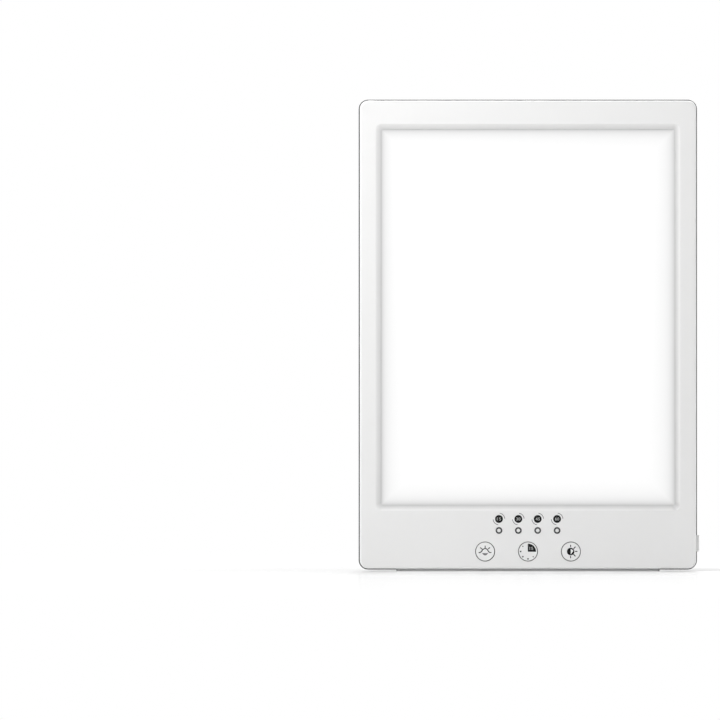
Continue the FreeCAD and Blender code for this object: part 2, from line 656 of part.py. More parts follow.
def power_inlet():
    """Barrel socket in the left wall, with its centre pin and the pin's tail on the board."""
    face = -FRAME_SIDE
    pin_base = face + SOCKET_DEPTH
    pin_end = pin_base + SOCKET_PIN_ROOT
    half = SOCKET_TALL / 2
    pin = rod_x(SOCKET_PIN, SIDE_PARTS_Y, BUTTON_Z, face + SOCKET_PIN_INSET, pin_base)
    root = rod_x(SOCKET_PIN_ROOT_RADIUS, SIDE_PARTS_Y, BUTTON_Z, pin_base, pin_end)
    tail = box(pin_end - SOCKET_PIN, pin_end + SOLDER_TAIL, BOARD_FRONT - SOLDER_TAIL_THICK, BOARD_FRONT,
               BUTTON_Z - SOCKET_PIN, BUTTON_Z + SOCKET_PIN)
    pin = pin.fuse([root, tail])
    body = box(-INNER_SIDE, face + SOCKET_LENGTH, FACE_BACK, SIDE_PARTS_Y + SOCKET_NOSE,
               BUTTON_Z - half, BUTTON_Z + half)
    body = body.fuse(rod_x(SOCKET_NOSE, SIDE_PARTS_Y, BUTTON_Z, face, -INNER_SIDE))
    body = body.cut(rod_x(SOCKET_BORE, SIDE_PARTS_Y, BUTTON_Z, face - OVERRUN, pin_base))
    keep("power_socket", body.cut(pin))
    keep("power_socket_pin", pin)


def connector(x, z):
    """A small lead connector on the back of the board."""
    return box(x - CONNECTOR_WIDE / 2, x + CONNECTOR_WIDE / 2, BOARD_BACK, BOARD_BACK + CONNECTOR_DEEP,
               z - CONNECTOR_TALL / 2, z + CONNECTOR_TALL / 2)


def leads():
    """Connectors on the board, and the leads from them to the lamp rows and the power switch."""
    keep("lead_connectors", Part.makeCompound(
        [connector(CONNECTOR_LEFT_X, CONNECTOR_HIGH_Z), connector(CONNECTOR_RIGHT_X, CONNECTOR_HIGH_Z),
         connector(CONNECTOR_RIGHT_X, CONNECTOR_LOW_Z)]))
    y_plug = BOARD_BACK + CONNECTOR_DEEP / 2
    y_lamps = (DIFFUSER_BACK + REFLECTOR_BACK) / 2
    end_x = (LED_BOARD_X + FLANGE_X) / 2
    end_z = WINDOW_MIDDLE - LED_BOARD_HALF
    for (side, sign), plug_x in zip(SIDES, (CONNECTOR_LEFT_X, CONNECTOR_RIGHT_X)):
        start = abs(plug_x) + CONNECTOR_WIDE / 2
        run = (end_x - start) / 4
        keep("led_lead_" + side, lead([
            (sign * start, y_plug, CONNECTOR_HIGH_Z),
            (sign * (start + run), y_plug, CONNECTOR_HIGH_Z),
            (sign * (start + 2 * run), y_plug + LEAD_RADIUS, CONNECTOR_HIGH_Z - LEAD_SWAY),
            (sign * (start + 3 * run), y_plug - LEAD_RADIUS, CONNECTOR_HIGH_Z + LEAD_RISE),
            (sign * end_x, y_lamps, end_z - LEAD_END_RUN),
            (sign * end_x, y_lamps, end_z)]))
    start = CONNECTOR_RIGHT_X + CONNECTOR_WIDE / 2
    keep("switch_lead", lead([
        (start, y_plug, CONNECTOR_LOW_Z),
        (start + SWITCH_LEAD_RUN, y_plug, CONNECTOR_LOW_Z),
        (start + 2 * SWITCH_LEAD_RUN, y_plug - 2 * LEAD_RADIUS, CONNECTOR_LOW_Z + LEAD_SWAY),
        (POWER_SWITCH_LEFT - SWITCH_LEAD_END_RUN, SIDE_PARTS_Y, CONNECTOR_LOW_Z + SWITCH_LEAD_RISE),
        (POWER_SWITCH_LEFT, SIDE_PARTS_Y, CONNECTOR_LOW_Z + SWITCH_LEAD_RISE)]))


# Back cover

def hinge_rod(radius, x0, x1):
    """A rod on the hinge line."""
    return rod_x(radius, HINGE_Y, HINGE_Z, x0, x1)


def both_sides(x0, x1):
    """A stretch of X and its mirror."""
    return ((x0, x1), (-x1, -x0))


def pocket(floor, wall):
    """The recess that the folded foot lies in, grown by a wall, with its finger scoop."""
    side = STAND_WIDTH / 2 + POCKET_GAP + wall
    high = HINGE_Z + STAND_REACH + POCKET_GAP
    block = box(-side, side, floor, BACK + OVERRUN, HINGE_Z, high + wall)
    top = [e for e in block.Edges if e.BoundBox.YLength > TINY and e.BoundBox.ZMin > high - TINY]
    block = block.makeFillet(STAND_CORNER + POCKET_GAP + wall, top)
    return block.fuse(rod_y(FINGER_RADIUS + wall, 0.0, high - FINGER_DROP, floor, BACK + OVERRUN))


def vents():
    """Two columns of cooling slots, above the pocket."""
    return [slab(VENT_LENGTH, VENT_SLOT, VENT_SLOT / 2 - TINY, COVER_INNER - OVERRUN, BACK + OVERRUN,
                 VENT_LOW_Z + row * VENT_PITCH, sign * VENT_X)
            for _, sign in SIDES for row in range(VENT_ROWS)]


def cover_shell():
    """The grey tray with its rounded back edge, and the tongue that fits inside the frame."""
    shell = slab(CASE_WIDTH, CASE_HEIGHT, CASE_CORNER, COVER_FRONT, BACK, CASE_MIDDLE)
    shell = shell.makeFillet(HINGE_RADIUS, edges_at_depth(shell, BACK))
    cavity = slab(CASE_WIDTH - 2 * WALL, CASE_HEIGHT - 2 * WALL, CASE_CORNER - WALL,
                  COVER_FRONT - OVERRUN, COVER_INNER, CASE_MIDDLE)
    tongue_front = COVER_FRONT - TONGUE_REACH
    tongue_back = COVER_FRONT + TONGUE_REACH
    tongue = slab(TONGUE_WIDTH, TONGUE_HEIGHT, INNER_CORNER - FIT_GAP,
                  tongue_front, tongue_back, CASE_MIDDLE)
    tongue = tongue.cut(slab(TONGUE_WIDTH - 2 * TONGUE_THICK, TONGUE_HEIGHT - 2 * TONGUE_THICK,
                             INNER_CORNER / 2, tongue_front - OVERRUN, tongue_back + OVERRUN, CASE_MIDDLE))
    hooks = [box(sign * (TONGUE_SIDE - TONGUE_THICK), sign * TONGUE_SIDE, HOOK_TIP, tongue_back,
                 z - HOOK_LENGTH / 2, z + HOOK_LENGTH / 2) for _, sign in SIDES for z in HOOK_HEIGHTS]
    return shell.cut(cavity).fuse([tongue] + hooks + hook_nubs(0.0))


def hinge_housing(cover):
    """Adds the pocket and the hinge lugs to the cover, and cuts the room that the foot turns in."""
    outer = slab(CASE_WIDTH, CASE_HEIGHT, CASE_CORNER, COVER_FRONT, BACK, CASE_MIDDLE)
    outer = outer.makeFillet(HINGE_RADIUS, edges_at_depth(outer, BACK))
    inside = slab(TONGUE_WIDTH, TONGUE_HEIGHT, INNER_CORNER - FIT_GAP, 0.0, COVER_FRONT, CASE_MIDDLE)
    envelope = outer.fuse(inside)
    cover = cover.fuse(pocket(POCKET_FLOOR - POCKET_WALL, POCKET_WALL).common(outer))
    for x0, x1 in both_sides(LUG_INNER, LUG_OUTER):
        cover = cover.fuse(hinge_rod(HINGE_RADIUS + LUG_WALL, x0, x1).common(envelope))
    cover = cover.cut(pocket(POCKET_FLOOR, 0.0))
    side = STAND_WIDTH / 2 + POCKET_GAP
    cover = cover.fuse(hinge_rod(HINGE_RADIUS, -side, side))
    for x0, x1 in both_sides(KNUCKLE_INNER - KNUCKLE_GAP, KNUCKLE_OUTER + KNUCKLE_GAP):
        cover = cover.cut(hinge_rod(HINGE_RADIUS + KNUCKLE_GAP, x0, x1))
        cover = cover.cut(box(x0, x1, HINGE_Y, BACK + OVERRUN, CASE_BASE - OVERRUN,
                              HINGE_Z + STAND_START + POCKET_GAP))
    for x0, x1 in both_sides(LUG_INNER + LUG_BLIND, LUG_OUTER - LUG_BLIND):
        cover = cover.cut(hinge_rod(PIN_RADIUS, x0, x1))
    return cover


def rear_cover():
    """Grey back cover: tray, pocket for the foot, hinge lugs, screw wells, pan ribs and vents."""
    cover = hinge_housing(cover_shell())
    for x, z in CASE_SCREWS:
        cover = cover.fuse(rod_y(SCREW_WELL + SCREW_WELL_WALL, x, z,
                                 PARTING + FIT_GAP, COVER_INNER + FIT_GAP))
        cover = cover.cut(rod_y(SCREW_HOLE, x, z, PARTING - OVERRUN, BACK + OVERRUN))
        cover = cover.cut(rod_y(SCREW_WELL, x, z, SCREW_SEAT, BACK + OVERRUN))
    for z in PAN_RIB_HEIGHTS:
        cover = cover.fuse(box(-PAN_RIB_HALF, PAN_RIB_HALF, PAN_BACK, COVER_INNER + FIT_GAP,
                               z - RIB / 2, z + RIB / 2))
    return cover.cut(vents())


# Fasteners

def cross_recess(x, z, y, size):
    """The cross that a screwdriver fits, sunk from depth y."""
    arm = CROSS_ARM
    upright = box(x - arm, x + arm, y - CROSS_DEPTH, y + OVERRUN, z - size, z + size)
    return upright.fuse(box(x - size, x + size, y - CROSS_DEPTH, y + OVERRUN, z - arm, z + arm))


def case_screw(x, z):
    """One self-tapping screw, from the back cover into a boss of the frame."""
    top = SCREW_SEAT + SCREW_HEAD_HEIGHT
    head = rod_y(SCREW_HEAD, x, z, SCREW_SEAT, top)
    head = head.makeFillet(SCREW_HEAD_ROUND, edges_at_depth(head, top))
    screw = head.fuse(rod_y(SCREW_RADIUS, x, z, FACE_BACK + SCREW_TIP_INSET, SCREW_SEAT))
    return screw.cut(cross_recess(x, z, top, SCREW_CROSS))


def board_screw(x, z):
    """One small screw that holds the control board to the frame."""
    top = BOARD_BACK + BOARD_SCREW_HEAD_HEIGHT
    screw = rod_y(BOARD_SCREW_HEAD, x, z, BOARD_BACK, top)
    screw = screw.fuse(rod_y(BOARD_SCREW, x, z, FACE_BACK + BOARD_SCREW_TIP_INSET, BOARD_BACK))
    return screw.cut(cross_recess(x, z, top, BOARD_SCREW_CROSS))


# Foot

def stand_pad(sign):
    """A rubber pad under the free end of the foot, let into it."""
    near = HINGE_Y + STAND_REACH - PAD_FROM_END
    pad = box(sign * PAD_INNER, sign * PAD_OUTER, near, near + PAD_WIDE, 0.0, CASE_BASE + RUBBER_RECESS)
    return round_upright(pad, PAD_CORNER)


def stand_plate():
    """The foot: a flat steel plate with two hinge knuckles, swung out flat behind the lamp."""
    near = HINGE_Y + STAND_START
    far = HINGE_Y + STAND_REACH
    plate = box(-STAND_WIDTH / 2, STAND_WIDTH / 2, near, far, CASE_BASE, STAND_TOP)
    corners = [e for e in plate.Edges if e.BoundBox.ZLength > TINY and e.BoundBox.YMin > far - TINY]
    plate = plate.makeFillet(STAND_CORNER, corners)
    plate = plate.makeFillet(STAND_EDGE_ROUND, [e for e in plate.Edges if e.BoundBox.ZLength < TINY])
    for x0, x1 in both_sides(KNUCKLE_INNER, KNUCKLE_OUTER):
        tab = box(x0, x1, HINGE_Y, near + STAND_EDGE_ROUND + OVERRUN, CASE_BASE, STAND_TOP)
        plate = plate.fuse([hinge_rod(HINGE_RADIUS, x0, x1), tab])
    for x0, x1 in both_sides(KNUCKLE_INNER, KNUCKLE_OUTER):
        middle = (x0 + x1) / 2
        plate = plate.cut(hinge_rod(PIN_RADIUS + PIN_CLEARANCE, x0 - OVERRUN, x1 + OVERRUN))
        plate = plate.cut(hinge_rod(SLEEVE_RADIUS, middle - SLEEVE_LENGTH / 2, middle + SLEEVE_LENGTH / 2))
    return plate.cut([stand_pad(sign) for _, sign in SIDES])


def friction_sleeve(x_middle):
    """A split spring sleeve in a knuckle, which grips the pin and holds the foot where it is put."""
    x0 = x_middle - SLEEVE_LENGTH / 2
    x1 = x_middle + SLEEVE_LENGTH / 2
    sleeve = hinge_rod(SLEEVE_RADIUS, x0, x1)
    sleeve = sleeve.cut(hinge_rod(PIN_RADIUS + PIN_CLEARANCE, x0 - OVERRUN, x1 + OVERRUN))
    return sleeve.cut(box(x0 - OVERRUN, x1 + OVERRUN, HINGE_Y - SLEEVE_SLIT / 2, HINGE_Y + SLEEVE_SLIT / 2,
                          HINGE_Z, HINGE_Z + HINGE_RADIUS))


def foot():
    """The foot and its pads, and the pins and sleeves of its hinge."""
    keep("stand_plate", stand_plate())
    for side, sign in SIDES:
        x0, x1 = sorted((sign * (LUG_INNER + LUG_BLIND), sign * (LUG_OUTER - LUG_BLIND)))
        keep("stand_pad_" + side, stand_pad(sign))
        keep("friction_sleeve_" + side, friction_sleeve(sign * KNUCKLE_MIDDLE))
        keep("hinge_pin_" + side, hinge_rod(PIN_RADIUS, x0, x1))


def build():
    """Makes every node and writes one file for each."""
    keep("front_frame", front_frame())
    keep("rear_cover", rear_cover())
    keep("base_strip", base_strip())
    panel_layers()
    keep("control_board", control_board())
    keys()
    indicators()
    board_components()
    power_controls()
    power_inlet()
    leads()
    foot()
    keep("case_screws", Part.makeCompound([case_screw(x, z) for x, z in CASE_SCREWS]))
    keep("board_screws", Part.makeCompound([board_screw(x, z) for x, z in BOARD_SCREWS]))
    os.makedirs("parts", exist_ok=True)
    for name, shape in parts.items():
        shape.exportStep("parts/" + name + ".step")
    print(len(parts), "nodes")


build()
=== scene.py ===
"""Finishes, printed marks and a plain studio for an upright light therapy lamp.

Metres, in the frame of the solids: X to the lamp's right from the front, Y back from the lit face, Z up.
Outlines of the printed marks are in millimetres round the middle of what carries them.
"""
import math

import bmesh
import bpy
from bpy.props import FloatProperty, FloatVectorProperty, PointerProperty
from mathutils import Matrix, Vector


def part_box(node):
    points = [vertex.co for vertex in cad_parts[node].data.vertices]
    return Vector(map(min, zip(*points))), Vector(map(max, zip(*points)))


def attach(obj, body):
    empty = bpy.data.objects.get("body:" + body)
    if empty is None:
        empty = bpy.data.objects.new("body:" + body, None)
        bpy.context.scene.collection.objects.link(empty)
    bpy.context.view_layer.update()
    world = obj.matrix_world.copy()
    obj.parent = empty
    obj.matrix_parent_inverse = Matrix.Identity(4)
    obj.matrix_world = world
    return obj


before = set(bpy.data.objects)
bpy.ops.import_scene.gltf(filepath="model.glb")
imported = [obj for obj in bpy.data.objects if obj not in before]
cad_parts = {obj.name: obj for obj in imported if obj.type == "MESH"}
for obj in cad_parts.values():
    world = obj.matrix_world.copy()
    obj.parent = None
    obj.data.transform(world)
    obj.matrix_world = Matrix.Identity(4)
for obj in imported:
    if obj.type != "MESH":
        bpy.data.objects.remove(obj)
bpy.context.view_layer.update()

bl_info = {
    "name": "Light therapy lamp",
    "version": (1, 0, 0),
    "blender": (4, 5, 0),
    "location": "3D View > Sidebar > Lamp",
    "description": "Finishes the lamp's parts, prints its marks and sets up a plain studio",
    "category": "Object",
}

MM = 0.001
FACE_LOW, FACE_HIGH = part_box("front_frame")
DIFFUSER_LOW, DIFFUSER_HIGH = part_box("diffuser")
FACE_Y = FACE_LOW.y
SIDES = ("left", "right")
KEYS = ("mode", "timer", "brightness")
TIMER_MINUTES = (15, 30, 45, 60)
KEY_FRONT_RADIUS = 5.0 * MM
WINDOW_OVERLAP = 4.0 * MM
RIM_WIDTH = 2.7 * MM
RIM_DEPTH = 2.2 * MM
RIM_MARGIN = 1.0 * MM
FLAT_MARGIN = 2.8 * MM
EDGE_DEPTH = 1.0 * MM
GUIDE_DOT_PITCH = 1.5 * MM
LAMPS_PER_ROW = 40
LAMP_PACKAGE = 3.0 * MM
ARC_STARTS = (3.0, 183.5)
ARC_TURN = 79.0
ARC_STEPS_PER_TURN = 96
PRINT_SUNK = 0.01 * MM
DUST_COLOUR = (0.55, 0.54, 0.52)
HANDLED_POLISH = 0.08

# Each ink's colour setting and slot
INKS = {
    "Black ink": ("ink_colour", "black_plastic"),
    "Grey ink": ("grey_ink_colour", "ring_grey"),
    "Pale grey ink": ("crescent_colour", "ring_grey"),
    "White ink": ("white_ink_colour", "white_key"),
}

# Each light's name, place, size and the setting that holds its power
LIGHTS = (
    ("Main light", (-0.29, -0.60, 0.525), 0.36, "key_power"),
    ("Side light", (1.0, -0.5, 0.7), 0.8, "side_power"),
    ("Back light", (0.3, 1.2, 0.9), 0.9, "back_power"),
    ("Left edge light", (-1.3, 0.15, 0.35), 0.9, "edge_power"),
    ("Right edge light", (1.3, 0.15, 0.35), 0.9, "edge_power"),
    ("Top edge light", (0.0, 0.15, 1.6), 0.9, "edge_power"),
)


# Settings

def colour(name, description, default):
    """A colour setting, in linear values."""
    return FloatVectorProperty(name=name, description=description, default=default, size=3, min=0.0, max=1.0,
                               subtype="COLOR")


def length(name, description, default):
    """A length setting, in metres."""
    return FloatProperty(name=name, description=description, default=default, min=0.0, unit="LENGTH",
                         precision=5)


def share(name, description, default):
    """A setting from 0 to 1."""
    return FloatProperty(name=name, description=description, default=default, min=0.0, max=1.0,
                         subtype="FACTOR")


def power(name, description, default):
    """A light's power, in watts."""
    return FloatProperty(name=name, description=description, default=default, min=0.0, unit="POWER")


class CaseSettings(bpy.types.PropertyGroup):
    """Colours and grain of the moulded case, the controls and the foot."""
    case_colour: colour("Case", "White of the moulded front frame", (0.80, 0.80, 0.797))
    key_colour: colour("Keys", "White of the three round keys", (0.81, 0.81, 0.807))
    # Painted shade: a thin dark line painted round each key's front, for the shadow in the gap round the key.
    key_line: length("Key outline", "Width of the thin line round each key's front", 0.16 * MM)
    key_line_colour: colour("Key outline colour", "Grey of that line", (0.10, 0.10, 0.10))
    # Painted light: the side button's white is set paler than the case's white to make up for the shade that
    # the case casts on it.
    button_colour: colour("Power button", "White of the side button", (0.96, 0.96, 0.955))
    cover_colour: colour("Back cover", "Grey of the back cover", (0.045, 0.046, 0.048))
    ring_colour: colour("Indicator rings", "Grey of the rings round the indicators", (0.045, 0.046, 0.048))
    foot_colour: colour("Foot", "Grey of the coated steel foot", (0.16, 0.163, 0.168))
    # Painted shade: the next three settings darken the window's sloping rim, most at the diffuser, more at
    # the right and below, and more again in its lower right corner.
    rim_shade: share("Rim shade", "How much greyer the sloping rim is at the diffuser", 0.22)
    far_shade: share("Far rim shade", "How much greyer again it is at the right, and below", 0.14)
    corner_shade: share("Corner shade", "How much greyer again its lower right corner is", 0.14)
    # Painted highlight: the paler white painted along the case's rounded front edge.
    edge_colour: colour("Rounded edge", "White of the case's rounded front edge", (0.98, 0.98, 0.98))
    strip_colour: colour("Base strip", "Grey of the rubber strip under the case", (0.42, 0.42, 0.425))
    grain_size: length("Grain", "Size of the fine grain moulded into the plastic", 0.35 * MM)
    grain_depth: length("Grain depth", "Height of that grain", 0.004 * MM)


class PanelSettings(bpy.types.PropertyGroup):
    """The lit window."""
    opal_colour: colour("Opal sheet", "Colour of the diffuser by daylight", (0.20, 0.20, 0.20))
    light_colour: colour("Light", "Colour of the light through the diffuser", (1.0, 1.0, 1.0))
    glow: FloatProperty(name="Glow", description="Strength of the light through the diffuser", default=0.80,
                        min=0.0, max=20.0)
    edge_fall: share("Edge fall", "Share of the light that the window's rim takes right at the edge", 0.30)
    edge_width: length("Edge width", "How far in from the rim that shade reaches", 1.5 * MM)
    border_fall: share("Border fall", "Share of the light that is missing along the guide's border", 0.25)
    border_width: length("Border width", "How far in from the border the light takes to come up", 6.5 * MM)


class MarkSettings(bpy.types.PropertyGroup):
    """The ink on the face and on the keys."""
    ink_colour: colour("Ink", "Black of the printed marks", (0.006, 0.006, 0.0065))
    grey_ink_colour: colour("Grey ink", "Grey of the thin arcs and the small dots", (0.10, 0.10, 0.105))
    crescent_colour: colour("Crescent ink", "Paler grey of the crescent on the mode key", (0.17, 0.17, 0.175))
    white_ink_colour: colour("White ink", "White of the numbers", (0.42, 0.42, 0.42))
    ink_thickness: length("Ink thickness", "Height of one layer of ink", 0.02 * MM)
    badge_diameter: length("Badge diameter", "Width of the black dot behind each number of minutes", 4.2 * MM)
    badge_rise: length("Badge rise", "Height of each dot's middle above its indicator", 6.1 * MM)
    badge_number_width: length("Number width", "Width of the number in each dot", 2.2 * MM)
    badge_number_height: length("Number height", "Height of the number in each dot", 1.55 * MM)
    arc_radius: length("Arc radius", "Radius of the two thin arcs round each dot", 3.08 * MM)
    arc_width: length("Arc width", "Line width of those arcs", 0.30 * MM)
    line_width: length("Line width", "Line width of the marks on the keys", 0.50 * MM)


class StudioSettings(bpy.types.PropertyGroup):
    """Light, floor and camera."""
    floor_colour: colour("Floor", "Colour of the floor", (0.88, 0.88, 0.88))
    floor_radius: length("Floor radius", "Radius of the round floor", 1.6)
    shade_start: length("Shade start", "Where the floor begins to fade", 0.06)
    shade_radius: length("Shade radius", "Where the floor has faded to the white of the background", 0.24)
    sheen: share("Floor sheen", "Share of a mirror image that the floor shows under the lamp", 0.22)
    sheen_radius: length("Sheen radius", "Where that mirror image has died away", 1.1)
    sheen_roughness: share("Sheen roughness", "How blurred that mirror image is", 0.16)
    key_power: power("Main light", "Power of the main light", 4.4)
    side_power: power("Side light", "Power of the light at the right", 1.6)
    back_power: power("Back light", "Power of the light behind the lamp", 12.0)
    edge_power: power("Edge lights", "Power of each of the lights at the sides and above", 2.8)
    surround: FloatProperty(name="Surround", description="Strength of the even light from all round",
                            default=0.11, min=0.0, max=2.0)
    camera_lens: FloatProperty(name="Lens", description="Focal length of the camera", default=900.0, min=1.0,
                               unit="CAMERA")
    camera_distance: length("Camera distance", "From the lit face to the camera", 9.567)
    camera_left: length("Camera left", "How far left of the lamp's middle the camera stands", 0.0893)
    camera_height: length("Camera height", "Height of the camera above the floor", 0.1123)


class LampSettings(bpy.types.PropertyGroup):
    """All settings of the lamp."""
    case: PointerProperty(type=CaseSettings, name="Case", description="Case, controls and foot")
    panel: PointerProperty(type=PanelSettings, name="Window", description="The lit window")
    marks: PointerProperty(type=MarkSettings, name="Marks", description="Printed marks")
    studio: PointerProperty(type=StudioSettings, name="Studio", description="Light, floor and camera")


def settings():
    """The lamp's settings in this scene."""
    return bpy.context.scene.lamp_settings


# Node helpers

def place(tree, kind, inputs=(), **choices):
    """A new node: choices set its options, and inputs maps a socket's name or number to a value or a link."""
    node = tree.nodes.new("ShaderNode" + kind)
    for key, value in choices.items():
        setattr(node, key, value)
    for key, value in dict(inputs).items():
        if isinstance(value, bpy.types.NodeSocket):
            tree.links.new(value, node.inputs[key])
        else:
            node.inputs[key].default_value = value
    return node


def calc(tree, operation, *values):
    """The result of one sum on numbers or links."""
    return place(tree, "Math", enumerate(values), operation=operation).outputs[0]


def mapped(tree, value, low, high, to_low=0.0, to_high=1.0):
    """A value stretched from one range to another, and held at the ends."""
    node = place(tree, "MapRange", {"Value": value, "From Min": low, "From Max": high,
                                    "To Min": to_low, "To Max": to_high})
    return node.outputs["Result"]


def noise(tree, vector, scale=1.0, detail=2.0, roughness=0.5):
    """A noise value, with its scale per unit of the vector."""
    return place(tree, "TexNoise", {"Vector": vector, "Scale": scale, "Detail": detail,
                                    "Roughness": roughness}).outputs[0]


def mixed(tree, factor, first, second):
    """A colour between two others, each given as a link or as three numbers."""
    ends = [value if isinstance(value, bpy.types.NodeSocket) else (*value, 1.0) for value in (first, second)]
    return place(tree, "Mix", {0: factor, 6: ends[0], 7: ends[1]}, data_type="RGBA").outputs[2]


def position(tree):
    """A point's place on the lamp, in metres, since every solid has its origin at the lamp's."""
    return place(tree, "TexCoord").outputs["Object"]


def arrange(tree):
    """Lays the nodes out in columns, from what feeds them to what they feed."""
    column = {}
    order = list(tree.nodes)
    for _ in order:
        for link in tree.links:
            column[link.from_node.name] = max(column.get(link.from_node.name, 0),
                                              column.get(link.to_node.name, 0) + 1)
    filled = {}
    for node in order:
        across = column.get(node.name, 0)
        node.location = (-240.0 * across, -260.0 * filled.get(across, 0))
        filled[across] = filled.get(across, 0) + 1


# Effects that several finishes share

def effect(name, inputs, outputs):
    """An empty node group with named sockets, and its input and output nodes."""
    group = bpy.data.node_groups.new(name, "ShaderNodeTree")
    for label, kind, default in inputs:
        socket = group.interface.new_socket(name=label, in_out="INPUT", socket_type="NodeSocket" + kind)
        if default is not None:
            socket.default_value = default
    for label in outputs:
        group.interface.new_socket(name=label, in_out="OUTPUT", socket_type="NodeSocketFloat")
    return group, group.nodes.new("NodeGroupInput"), group.nodes.new("NodeGroupOutput")


def in_units(tree, vector, size):
    """A place counted in units of a given size instead of metres."""
    scaled = place(tree, "VectorMath", {0: vector}, operation="SCALE")
    tree.links.new(calc(tree, "DIVIDE", 1.0, size), scaled.inputs["Scale"])
    return scaled.outputs[0]


def moulded_grain():
    """Grain from the mould, as a height, and the slow drift of tone of a large moulded face."""
    inputs = (("Position", "Vector", None), ("Grain Size", "Float", 0.0004), ("Drift Size", "Float", 0.05))
    group, given, result = effect("Moulded grain", inputs, ("Height", "Drift"))
    fine = in_units(group, given.outputs["Position"], given.outputs["Grain Size"])
    group.links.new(noise(group, fine, detail=3.0, roughness=0.6), result.inputs["Height"])
    slow = in_units(group, given.outputs["Position"], given.outputs["Drift Size"])
    group.links.new(noise(group, slow), result.inputs["Drift"])
    arrange(group)
    return group


def handled():
    """Faint patches where hands and cloths have changed the sheen, from 0 to 1."""
    group, given, result = effect("Handled", (("Position", "Vector", None), ("Patch Size", "Float", 0.03)),
                                  ("Mask",))
    where = in_units(group, given.outputs["Position"], given.outputs["Patch Size"])
    patches = noise(group, where, detail=4.0, roughness=0.65)
    group.links.new(mapped(group, patches, 0.42, 0.66), result.inputs["Mask"])
    arrange(group)
    return group


def settled_dust():
    """A trace of dust on what faces up, from 0 to 1."""
    group, given, result = effect("Settled dust", (("Position", "Vector", None), ("Normal", "Vector", None)),
                                  ("Mask",))
    up = place(group, "SeparateXYZ", {0: given.outputs["Normal"]}).outputs["Z"]
    grains = noise(group, given.outputs["Position"], scale=900.0, detail=3.0, roughness=0.7)
    specks = mapped(group, grains, 0.45, 0.75)
    group.links.new(calc(group, "MULTIPLY", mapped(group, up, 0.55, 0.95), specks), result.inputs["Mask"])
    arrange(group)
    return group


def drawn_lines():
    """The fine lines that drawing or brushing leaves along a metal part, as a height."""
    group, given, result = effect("Drawn lines", (("Position", "Vector", None), ("Squeeze", "Vector", None)),
                                  ("Height",))
    squeezed = place(group, "VectorMath", {0: given.outputs["Position"], 1: given.outputs["Squeeze"]},
                     operation="MULTIPLY")
    group.links.new(noise(group, squeezed.outputs[0], detail=3.0, roughness=0.6), result.inputs["Height"])
    arrange(group)
    return group


def inside_distance():
    """How far a point of an upright rectangle lies in from its nearest edge, in metres."""
    inputs = (("Position", "Vector", None), ("Half Width", "Float", 0.0), ("Half Height", "Float", 0.0),
              ("Middle", "Float", 0.0))
    group, given, result = effect("Distance inside", inputs, ("Distance",))
    parts = place(group, "SeparateXYZ", {0: given.outputs["Position"]})
    across = calc(group, "SUBTRACT", given.outputs["Half Width"],
                  calc(group, "ABSOLUTE", parts.outputs["X"]))
    rise = calc(group, "SUBTRACT", parts.outputs["Z"], given.outputs["Middle"])
    along = calc(group, "SUBTRACT", given.outputs["Half Height"], calc(group, "ABSOLUTE", rise))
    nearest = calc(group, "MINIMUM", across, along)
    group.links.new(nearest, result.inputs["Distance"])
    arrange(group)
    return group


EFFECTS = {"Moulded grain": moulded_grain, "Handled": handled, "Settled dust": settled_dust,
           "Drawn lines": drawn_lines, "Distance inside": inside_distance}


def use_effect(tree, name, inputs):
    """Places a shared effect in a material, building its group the first time."""
    group = bpy.data.node_groups.get(name) or EFFECTS[name]()
    return place(tree, "Group", inputs, node_tree=group, label=name)


# Finishes

def new_finish(name, roughness=0.5, metallic=0.0, **fixed):
    """A material with its shader: fixed gives values for sockets, with _ for each space in their names."""
    material = bpy.data.materials.new(name)
    material.use_nodes = True
    tree = material.node_tree
    shader = tree.nodes["Principled BSDF"]
    shader.inputs["Roughness"].default_value = roughness
    shader.inputs["Metallic"].default_value = metallic
    for key, value in fixed.items():
        shader.inputs[key.replace("_", " ")].default_value = value
    return material, tree, shader


def shaded(rgb, factor):
    """A colour made lighter or darker."""
    return tuple(min(1.0, channel * factor) for channel in rgb)


def bumped(tree, shader, height, depth):
    """Lets a height in units of depth tilt the surface."""
    bump = place(tree, "Bump", {"Height": height, "Distance": depth, "Strength": 1.0})
    tree.links.new(bump.outputs["Normal"], shader.inputs["Normal"])


def plastic(name, rgb, roughness, grain_size, grain_depth, drift=0.03, dust=0.0, **fixed):
    """Moulded plastic, rubber, foam or ink: grain, a slow drift of tone, handled patches and dust."""
    material, tree, shader = new_finish(name, roughness, **fixed)
    where = position(tree)
    grain = use_effect(tree, "Moulded grain", {"Position": where, "Grain Size": grain_size})
    patches = use_effect(tree, "Handled", {"Position": where})
    tone = mixed(tree, grain.outputs["Drift"], shaded(rgb, 1.0 - drift), shaded(rgb, 1.0 + drift))
    if dust > 0.0:
        normal = place(tree, "NewGeometry").outputs["Normal"]
        settled = use_effect(tree, "Settled dust", {"Position": where, "Normal": normal})
        amount = calc(tree, "MULTIPLY", settled.outputs["Mask"], dust)
        tone = mixed(tree, amount, tone, DUST_COLOUR)
    tree.links.new(tone, shader.inputs["Base Color"])
    tree.links.new(mapped(tree, patches.outputs["Mask"], 0.0, 1.0, roughness, roughness - HANDLED_POLISH),
                   shader.inputs["Roughness"])
    bumped(tree, shader, grain.outputs["Height"], grain_depth)
    arrange(tree)
    return material


